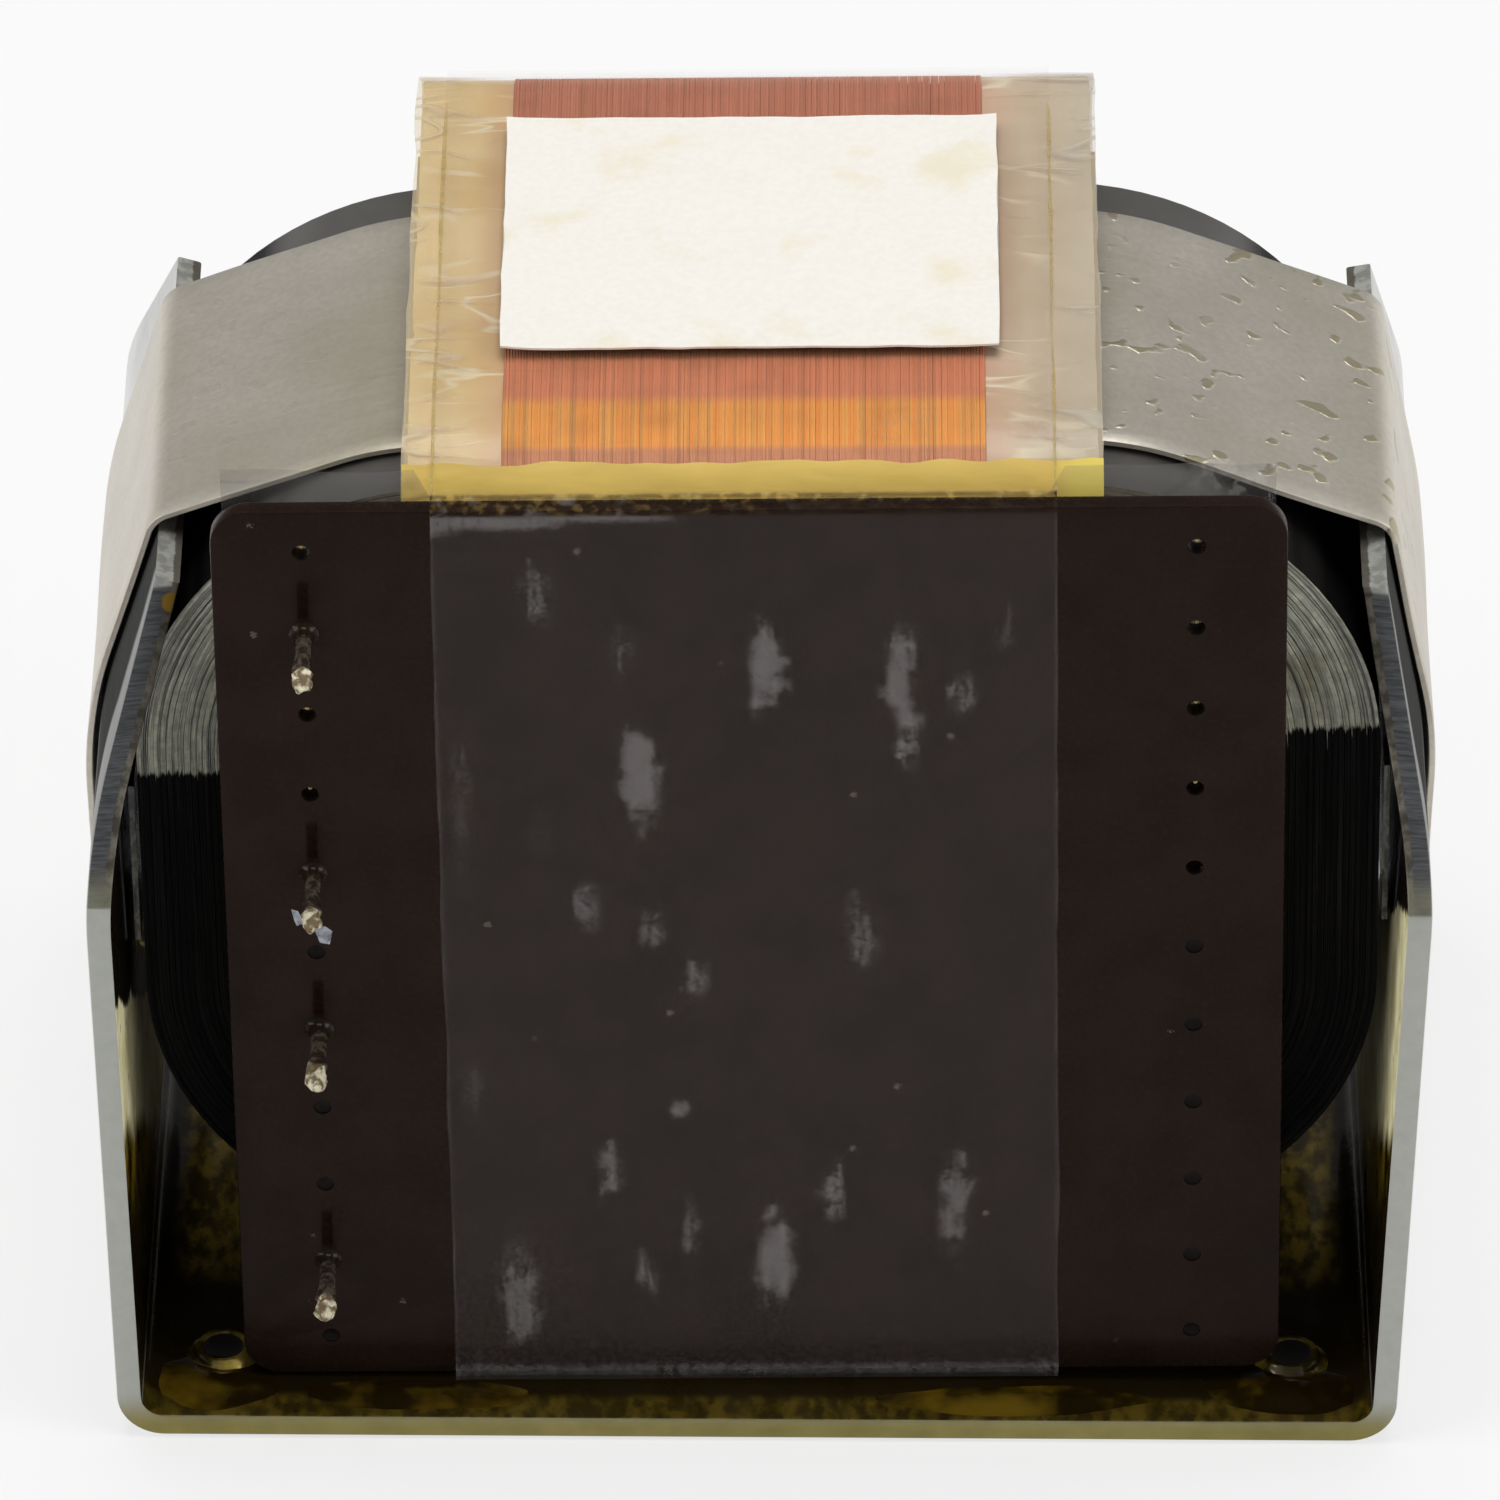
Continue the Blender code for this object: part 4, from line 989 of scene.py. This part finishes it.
@finish("brown_phenolic", Specular_IOR_Level=0.05)
def board_finish(place):
    x, _, z = place.axes()
    grain = place.noise(3500, 2)
    colour = place.noise(250, 4, 0.6).fade(0.3, 0.7).mix((0.0145, 0.0080, 0.0058), (0.0205, 0.0112, 0.0082))
    colour = grain.fade(0.55, 0.8, 0, 0.5).mix(colour, (0.030, 0.020, 0.016))
    colour = (place.specks(420, 0.16, 0.20) * 0.55).mix(colour, (0.16, 0.14, 0.12))
    colour = place.specks(230, 0.2, 0.12).mix(colour, (0.50, 0.48, 0.44))
    # Painted reflection: above each pin, a dark smear is painted on the board as the pin's reflection in the
    # glossy face.
    for pin in PINS:
        streak = on_face(pin, 2.1) * MM
        side, high = abs(x - streak.x), abs(z - streak.z)
        dark = side.fade(0.00022, 0.00036, 1, 0) * high.fade(0.0009, 0.0014, 1, 0) * 0.8
        colour = dark.mix(colour, (0.004, 0.0012, 0.0008))
    return dict(Base_Color=colour, Roughness=grain.fade(0.3, 0.7, 0.2, 0.34), Normal=grain.bump(0.10, 0.0001))


# %% Shape of the board
SLICES = (
    (0.12, BOARD_FRONT), (0.03, BOARD_FRONT + 0.05), (0.0, BOARD_FRONT + 0.15),
    (0.0, BOARD_BACK - 0.15), (0.08, BOARD_BACK),
)


def board_outline(shrink):
    half_x, half_z = BOARD_HALF - shrink, (BOARD_TOP - BOARD_BOTTOM) / 2 - shrink
    radius, points = BOARD_CORNER - shrink, []
    for k, (sx, sz) in enumerate(((1, 1), (-1, 1), (-1, -1), (1, -1))):
        centre = (sx * (half_x - radius), (BOARD_TOP + BOARD_BOTTOM) / 2 + sz * (half_z - radius))
        points += arc(centre, radius, k * QUARTER, (k + 1) * QUARTER, 10)
    return [p + Vector((BOARD_X, 0)) for p in points]


def on_plane(outline, y):
    return [(p.x, y, p.y) for p in outline]


bores = []
for column in (-1, 1):
    for number in range(1, 12):
        ring = circle(hole(column, number), 0.47 if column > 0 or number not in PINNED else 0.62, 24)
        bores.append(loft([on_plane(ring, BOARD_FRONT - 1), on_plane(ring, BOARD_BACK + 1)]))
slices = [on_plane(board_outline(shrink), y) for shrink, y in SLICES]
board = make_piece("brown_board", *loft(slices), board_finish, wound=True)
drill(board, bores, wound=True)
smooth(board.data, SHARP)
settle(board, "phenolic_board", "terminal_board")

# %% [markdown]
# Varnish has run into the lower holes and filled them almost to the face. In the upper ones
# a small amber shape near the top is a painted glint, where the lit sheet behind the board
# shows through. Both are small shapes placed by the same tree.

# %% Varnish and painted glints in the holes
@finish("varnish_filling", Roughness=0.3, Specular_IOR_Level=0.05)
def filling(place):
    return dict(Base_Color=place.noise(2500, 2).mix((0.005, 0.004, 0.004), (0.013, 0.009, 0.007)))


@finish("amber_drop", Roughness=0.2)
def amber_drop(place):
    return dict(Base_Color=place.noise(3500, 2).fade(0.3, 0.6).mix((0.10, 0.05, 0.004), (0.50, 0.32, 0.06)))


def empty_holes(first, last, rise=0.0):
    places = [(column, number) for column in (-1, 1) for number in range(first, last + 1)]
    return [on_face(hole(c, n), rise) for c, n in places if c > 0 or n not in PINNED]


PLUG = [(0.0, -0.62), (0.45, -0.62), (0.45, -0.12), (0.30, -0.16), (0.0, -0.18)]
GLINT_SHAPE = [(0.0, -0.5), (0.13, -0.45), (0.18, -0.3), (0.12, -0.16), (0.0, -0.12)]
place_turned(
    "hole_fillings", empty_holes(6, 11), PLUG, 20, filling, "phenolic_board",
    Turn=3.0, Swell=0.0, Seed=5,
)
# Painted glints: small amber shapes at the top of the upper holes stand for the lit sheet seen through them.
place_turned(
    "hole_drops", empty_holes(1, 4, 0.32), GLINT_SHAPE, 14, amber_drop, "phenolic_board",
    Turn=0.5, Swell=0.2, Seed=6,
)

# %% [markdown]
# ## Solder pins
# Four pins stand out of the left column. Each shank is brown with varnish, its tip was
# dipped in solder and ends in a rough cream point. A ring of varnish creeps up at its foot.

# %% Pins
@finish("soldered_pin", Metallic=0.15)
def pin_finish(place):
    y = place.axes()[1]
    lump = place.noise(2200)
    tip = lump.fade(0.42, 0.62).mix((0.16, 0.11, 0.05), (0.74, 0.68, 0.50))
    shank = lump.fade(0.4, 0.65).mix((0.03, 0.02, 0.015), (0.10, 0.08, 0.062))
    colour = (lump * 0.0012 + y).fade(-0.0243, -0.0239, 1, 0).mix(shank, tip)
    return dict(Base_Color=colour, Roughness=y.fade(-0.0248, -0.0244, 0.6, 0.2), Normal=lump.bump(0.6, 0.0003))


PIN = [
    (0.0, -3.0), (0.42, -3.0), (0.42, 0.0), (0.42, 1.0), (0.42, 2.2), (0.43, 3.2),
    (0.47, 3.6), (0.53, 4.0), (0.49, 4.35), (0.36, 4.7), (0.18, 5.0), (0.0, 5.1),
]
pin = turned(PIN, 20, pin_finish)
for vertex in pin.data.vertices:
    x, y, z = vertex.co / MM
    if y < -2.6 and (x or z):
        push = 1 + 0.35 * wobble(x * 3, y * 3, z * 3, 1.0, 9.0)
        vertex.co.x *= push
        vertex.co.z *= push
for index, c in enumerate(PINS, 1):
    piece = run_tree(
        f"solder_pin_{index}", [on_face(c)], placer, Shape=pin,
        Turn=2.5, Swell=0.04, Seed=index, Finish=pin_finish,
    )
    settle(piece, "soldered_pin", f"pin_{index}")
bpy.data.objects.remove(pin)

# %% Rings at the pins' feet
@finish("brown_varnish", Roughness=0.08, Specular_IOR_Level=0.15)
def ring_finish(place):
    patch = place.noise(1500, 2)
    colour = patch.mix((0.006, 0.004, 0.003), (0.025, 0.015, 0.008))
    return dict(Base_Color=colour, Normal=patch.bump(0.1, 0.0001))


FOOT = [
    (0.38, -0.05), (0.38, 0.75), (0.44, 0.66), (0.49, 0.40),
    (0.56, 0.22), (0.67, 0.10), (0.76, 0.02), (0.72, -0.05),
]
feet = [on_face(c) for c in PINS]
place_turned("pin_varnish_rings", feet, FOOT, 28, ring_finish, "soldered_pin", Turn=3.0, Swell=0.05, Seed=4)

# %% [markdown]
# Two thin flakes of film stick to the tip of the second pin.

# %% Flakes on the second pin
@finish("pale_flake", Roughness=0.3)
def flake_finish(place):
    patch = place.noise(2500, 2)
    colour = patch.mix((0.22, 0.25, 0.32), (0.62, 0.64, 0.68))
    return dict(Base_Color=colour, Alpha=patch.fade(0.3, 0.7, 0.3, 0.8))


FLAKES = (
    ((-0.95, 1.2), (-0.6, 1.0), (-0.35, 0.2), (-0.7, 0.1), (-0.85, 0.6)),
    ((0.2, -0.4), (0.7, -0.2), (1.1, -0.6), (0.95, -1.4), (0.45, -1.2)),
)
tip = Vector((PINS[1].x, BOARD_FRONT - 4.5, PINS[1].y))
flakes = [
    loft([[(tip.x + x, tip.y + 0.25 * x + d, tip.z + z) for x, z in flake] for d in (0.0, 0.04)])
    for flake in FLAKES
]
settle(make_piece("pin_flakes", *joined(flakes), flake_finish, wound=True), "soldered_pin")

# %% [markdown]
# ## Clear tape and clear sheet
# Tape goes once round board and coils. On the board it shows as a slightly lighter, greyer
# field, with pale blotches where it does not stick. A clear sheet stands behind the board
# and looks out above it.

# %% Where the tape does not stick
LOOSE_SPOTS = (
    (0.4, 17.9, 1.0, 3.0, 1.0), (7.7, 16.4, 0.8, 4.4, 0.9), (-6.0, 11.2, 1.1, 3.4, 1.0),
    (-11.2, 22.2, 0.9, 2.0, 0.45), (10.6, 16.3, 0.8, 1.5, 0.5), (-9.0, 2.7, 0.8, 1.5, 0.5),
    (-5.6, 1.7, 0.7, 1.9, 0.5), (-3.4, -1.9, 0.7, 1.8, 0.55), (5.2, 0.9, 0.8, 2.6, 0.5),
    (-4.1, -10.6, 0.6, 0.8, 0.9), (-8.1, -14.4, 0.6, 2.0, 0.7), (-3.8, -18.4, 0.4, 2.3, 0.6),
    (-6.2, -21.5, 0.4, 1.8, 0.6), (0.4, -20.5, 1.0, 3.4, 1.0), (3.9, -16.3, 0.7, 1.9, 0.8),
    (10.1, -16.6, 0.9, 3.4, 0.7), (-12.8, -23.1, 1.1, 3.4, 0.7), (-6.9, 19.0, 0.5, 1.8, 0.35),
    (13.0, 20.3, 0.5, 1.6, 0.25), (-11.2, 7.3, 0.5, 2.0, 0.25),
)


def kept_in(value, high=1.0):
    return max(0.0, min(high, value))


def looseness(x, z):
    """How far the tape has let go of the board at a place, from 0 to 1."""
    most = 0.0
    for cx, cz, rx, rz, strength in LOOSE_SPOTS:
        bent = cx + 0.35 * rx * wobble(z, cx, 0, 2.5, 3.0)
        away = ((x - bent) / rx) ** 2 + ((z - cz) / rz) ** 2 + 0.5 * wobble(x, z, cx, 0.9, 1.0)
        most = max(most, strength * kept_in(1.25 - away))
    rim = 0.5 * max(0.0, 1 - abs(x + 15.2) / 0.5) * max(0.0, wobble(z, 0, 0, 5.0, 8.0))
    upper = BOARD_TOP - 1.25 + 0.08 * (x + 15)
    crease = 0.8 * kept_in((z - upper) / 0.12) * kept_in(0.9 - 0.09 * (x + 6))
    lower = 0.9 * max(0.0, 1 - abs(z - BOARD_BOTTOM - 0.35) / 0.4)
    return min(1.0, max(most, rim, crease, lower))


# %% Finish of the tape
@finish("clear_tape", Roughness=0.3, Specular_IOR_Level=0.15)
def tape_clear(place):
    x, y, z = place.axes()
    spot = place.stored("loose")
    streak = place.scaled((2400, 2400, 350)).noise(1, 2)
    ragged = spot * 0.32 + (streak * 0.45 + place.noise(4200, 2, 0.6) * 0.75)
    loose = spot.math("POWER", 0.6) * ragged.fade(0.60, 0.84)
    front = y.fade(-0.0208, -0.0200, 1, 0)
    rim = abs(place.stored("across") - COPPER_X).fade(15.80, 15.90)
    dashes = place.scaled((100, 1200, 1200)).noise(1, 2).fade(0.35, 0.6, 0.35, 1)
    edge = rim * dashes * y.fade(0.0125, 0.0155, 1, 0)
    strip = (x * -0.0157 + z).fade(0.0575, 0.0577) * y.fade(-0.0203, -0.0199, 1, 0)
    strip = strip * place.noise(900).fade(0.2, 0.45)
    on_board = loose * 0.12 + edge * 0.02 + 0.016
    on_coil = edge * 0.55 + 0.02 + strip * 0.6
    dirt = place.noise(1700, 2).fade(0.5, 0.65).mix((0.05, 0.028, 0.01), (0.42, 0.28, 0.08))
    colour = strip.mix(front.mix((0.50, 0.38, 0.14), (0.62, 0.58, 0.57)), dirt)
    return dict(Base_Color=colour, Alpha=on_board * front + on_coil * front.flipped())


# %% Shape of the tape
def tape_path(offset):
    """The way round coils and board, as points in the YZ plane."""
    radius = COIL_CORNER + offset
    top, bottom = COIL_TOP + offset, BOARD_BOTTOM - offset
    front, back = BOARD_FRONT - offset, COIL_BACK + offset
    edge = Vector((front, BOARD_TOP + offset / 2))
    span = edge - COIL_BEND
    leave = math.atan2(span.y, span.x) - math.acos(radius / span.length)
    points = arc((back - radius, top - radius), radius, 0, QUARTER, 8)
    points += arc(COIL_BEND, radius, QUARTER, leave, 2) + [edge, Vector((front, bottom))]
    return points + arc((back - radius, bottom + radius), radius, -QUARTER, 0, 8)


pairs = []
path = list(zip(tape_path(0.15), tape_path(0.30)))
for a, b in zip(path, path[1:] + path[:1]):
    on_board = a[0].x < BOARD_FRONT and b[0].x < BOARD_FRONT
    count = max(1, round((a[0] - b[0]).length / (0.45 if on_board else 2.5)))
    pairs += [(a[0].lerp(b[0], i / count), a[1].lerp(b[1], i / count)) for i in range(count)]
columns = spread(-16.45, 15.55, 64)
tape = belt(
    "clear_tape_belt", *zip(*pairs), columns, tape_clear,
    ripple=0.03, edge=0.06, seed=7.0, step=5.0,
)
straight = WOUND.inverted()
places = [straight @ (vertex.co / MM) for vertex in tape.data.vertices]
store(tape, "loose", [looseness(p.x, p.z) if p.y < BOARD_FRONT + 0.1 else 0.0 for p in places])
settle(tape, "clear_film", "assembly_tape")

# %% Clear sheet behind the board
@finish("clear_sheet", Roughness=0.25)
def sheet_clear(place):
    debris = place.noise(1300, 3, 0.6).fade(0.52, 0.6) * place.axes()[0].fade(0.020, 0.027)
    alpha = place.group(creases, Scale=250)["Line"] * 0.2 + debris * 0.2 + 0.16
    return dict(Base_Color=debris.mix((0.20, 0.19, 0.18), (0.65, 0.64, 0.60)), Alpha=alpha)


loops = []
for x in spread(-27.1, 26.7, 60):
    top = 27.5 if -16.7 < x < 15.8 else 29.35 + 0.12 * wobble(x, 0, 0, 3.0, 12.0)
    lean = 0.12 * wobble(x, 0, 5, 6.0, 13.0)
    rows = [-27.78, 0.0, 20.0, 26.5, top]
    faces = ((-19.88, rows), (-19.76, rows[::-1]))
    loops.append([(x, y + lean * (z > 26), z) for y, row in faces for z in row])
sheet = make_piece("clear_sheet_film", *loft(loops), sheet_clear, wound=True, angle=60)
settle(sheet, "clear_film", "clear_sheet")

# %% [markdown]
# ## Label
# A bare paper label lies on the tape over the upper coil. It has the light yellow stains of
# varnish. It is thin, so its corners and edges lift a little.

# %% Label
@finish("stained_paper", Roughness=0.55, Coat_Weight=0.2, Coat_Roughness=0.3)
def paper_finish(place):
    fibre = place.noise(2500)
    colour = fibre.fade(0.3, 0.7).mix((0.91, 0.87, 0.80), (0.935, 0.905, 0.84))
    colour = place.noise(170, 4, 0.6).fade(0.52, 0.72, 0, 0.55).mix(colour, (0.83, 0.74, 0.48))
    colour = (place.specks(330, 0.04, 0.16) * 0.7).mix(colour, (0.20, 0.15, 0.08))
    return dict(Base_Color=colour, Normal=fibre.bump(0.1, 0.0001))


LABEL_X, LABEL_Y, LABEL_HALF_X, LABEL_HALF_Y, LABEL_THICKNESS = -0.2, 2.1, 12.9, 10.8, 0.12
loops = []
for x in spread(-1, 1, 30):
    row = []
    for y in spread(-1, 1, 26):
        lift = 0.10 * max(0.0, abs(x) - 0.9) * 10 * abs(y) + 0.03 * wobble(x * 9, y * 9, 0, 3.0, 3.0)
        ragged = 0.05 * wobble(x * 20, y * 20, 0, 3.0, 4.0)
        along = LABEL_X + LABEL_HALF_X * x + ragged * (abs(x) == 1)
        row.append((along, LABEL_Y + LABEL_HALF_Y * y + ragged * (abs(y) == 1), COIL_TOP + 0.47 + lift))
    loops.append([(a, b, c + LABEL_THICKNESS) for a, b, c in row] + row[::-1])
settle(make_piece("paper_label", *loft(loops), paper_finish, wound=True, angle=50), "label_paper", "label")

# %% [markdown]
# ## Varnish pools
# Where the dipping varnish drained, it stands in a low fillet along the floor's front edge
# and round the collars. A few smooth lens shapes carry the wet highlights.

# %% Pools on the floor
@finish("dark_amber_varnish", Roughness=0.1, Specular_IOR_Level=0.4)
def pool(place):
    patch = place.noise(260)
    colour = patch.fade(0.45, 0.7).mix((0.012, 0.007, 0.001), (0.12, 0.075, 0.005))
    return dict(Base_Color=colour, Normal=patch.bump(0.15, 0.0003))


POOLS = (
    (-28.9, -21.6, 3.6, 2.2, 0.35), (28.4, -21.8, 4.0, 2.1, 0.35),
    (-18.0, -22.6, 6.0, 1.3, 0.2), (14.0, -22.8, 7.0, 1.2, 0.2),
)


def lens(cx, cy, rx, ry, height, steps=40, rings=6):
    """A low round drop lying on the floor, as loops from its foot to its top."""
    loops = []
    for k in range(rings + 1):
        scale = math.cos(k / rings * QUARTER) if k < rings else 0.02
        z = SHEET + 0.02 + height * (1 - scale**2) ** 2
        loop = []
        for i in range(steps):
            dx, dy = math.cos(2 * math.pi * i / steps), math.sin(2 * math.pi * i / steps)
            r = 1 + 0.10 * wobble(dx * 3 + cx, dy * 3 + cy, 0, 2.0, 1.0)
            loop.append((cx + rx * r * scale * dx, cy + ry * r * scale * dy, z))
        loops.append(loop)
    return [[(x, y, SHEET - 0.1) for x, y, _ in loops[0]]] + loops


settle(make_piece("varnish_pools", *joined(loft(lens(*size)) for size in POOLS), pool), "plated_steel")

# %% [markdown]
# ## Pieces that keep their solids
# Formers, spacers, lead wires and the black compound are hardly seen. Their solids are right
# as they are and only get a finish.

# %% Finishes for kept solids
@finish("pressboard", Roughness=0.6)
def board_paper(place):
    fibre = place.scaled((900, 300, 300)).noise(1, 4, 0.6)
    return dict(Base_Color=fibre.mix((0.24, 0.16, 0.07), (0.42, 0.31, 0.15)), Normal=fibre.bump(0.2, 0.0002))


@finish("black_compound", Roughness=0.2, Coat_Weight=0.6)
def compound(place):
    lump = place.noise(600)
    return dict(Base_Color=lump.mix((0.004, 0.004, 0.004), (0.02, 0.018, 0.015)), Normal=lump.bump(0.5, 0.0004))


@finish("inner_copper", Metallic=0.6, Roughness=0.4)
def dark_copper(place):
    turns = place.group(lines, Stretch=(6000, 30, 30))
    colour = turns["Tone"].mix((0.10, 0.035, 0.02), (0.32, 0.12, 0.05))
    return dict(Base_Color=colour, Normal=turns["Height"].bump(0.4, 0.0002))


KEPT = {
    "coil_former": board_paper, "gap_spacer": board_paper, "side_pad": compound,
    "copper_winding": dark_copper, "lead_wire": dark_copper,
}
for name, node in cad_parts.items():
    for start, material in KEPT.items():
        if name.startswith(start):
            for slot in node.material_slots:
                slot.material = material
            print(name, "keeps its solid, finish", material.name)

# %% [markdown]
# ## Floor, light and background
# A pale floor and soft light from above and both sides. What the camera and reflections see
# of the floor is plain white, mixed with the floor's own shade so that the shadow stays.

# %% Floor
FLOOR_HALF, FLOOR_Z = 3, -0.0002
corners = [(x * FLOOR_HALF, y * FLOOR_HALF, FLOOR_Z) for x, y in ((-1, -1), (1, -1), (1, 1), (-1, 1))]
floor_mesh = bpy.data.meshes.new("pale_floor")
floor_mesh.from_pydata(corners, [], [(0, 1, 2, 3)])
floor_material = bpy.data.materials.new("pale_floor")
floor_material.use_nodes = True
tree = floor_material.node_tree
tree.nodes.clear()
shade = put(tree, "ShaderNodeBsdfDiffuse", Color=(0.9, 0.9, 0.9))[0]
glow = put(tree, "ShaderNodeEmission", Color=(1, 1, 1), Strength=1.0)[0]
rays = put(tree, "ShaderNodeLightPath")
seen = rays["Is Camera Ray"].math("MAXIMUM", rays["Is Glossy Ray"]).math("MAXIMUM", rays["Is Transmission Ray"])
both = put(tree, "ShaderNodeMixShader", Fac=seen * 0.6, Shader=shade, Shader_001=glow)[0]
put(tree, "ShaderNodeOutputMaterial", Surface=both)
floor_mesh.materials.append(floor_material)
floor = add_object("pale_floor", floor_mesh)

# %% Lights and world
AIM = Vector((0, 0, 0.03))


def soft_light(name, place, size, power):
    lamp = bpy.data.lights.new(name, "AREA")
    lamp.shape, lamp.size, lamp.size_y, lamp.energy = "RECTANGLE", *size, power
    light = add_object(name, lamp)
    light.location = place
    light.rotation_euler = (AIM - Vector(place)).to_track_quat("-Z", "Y").to_euler()


soft_light("top_softbox", (0.0, 0.05, 1.1), (0.7, 0.7), 6.4)
soft_light("left_softbox", (-0.9, -0.25, 0.45), (0.5, 0.6), 3.0)
soft_light("right_softbox", (0.9, -0.25, 0.45), (0.5, 0.6), 3.0)
world = bpy.data.worlds.new("studio")
bpy.context.scene.world = world
world.use_nodes = True
tree = world.node_tree
tree.nodes.clear()
direction = put(tree, "ShaderNodeTexCoord")["Generated"].axes()
side = abs(direction[0]).fade(0.35, 0.85, 0.20, 0.60)
strength = side.math("MAXIMUM", put(tree, "ShaderNodeLightPath")["Is Camera Ray"])
sky = put(tree, "ShaderNodeBackground", Color=(1, 1, 1), Strength=strength)[0]
put(tree, "ShaderNodeOutputWorld", Surface=sky)
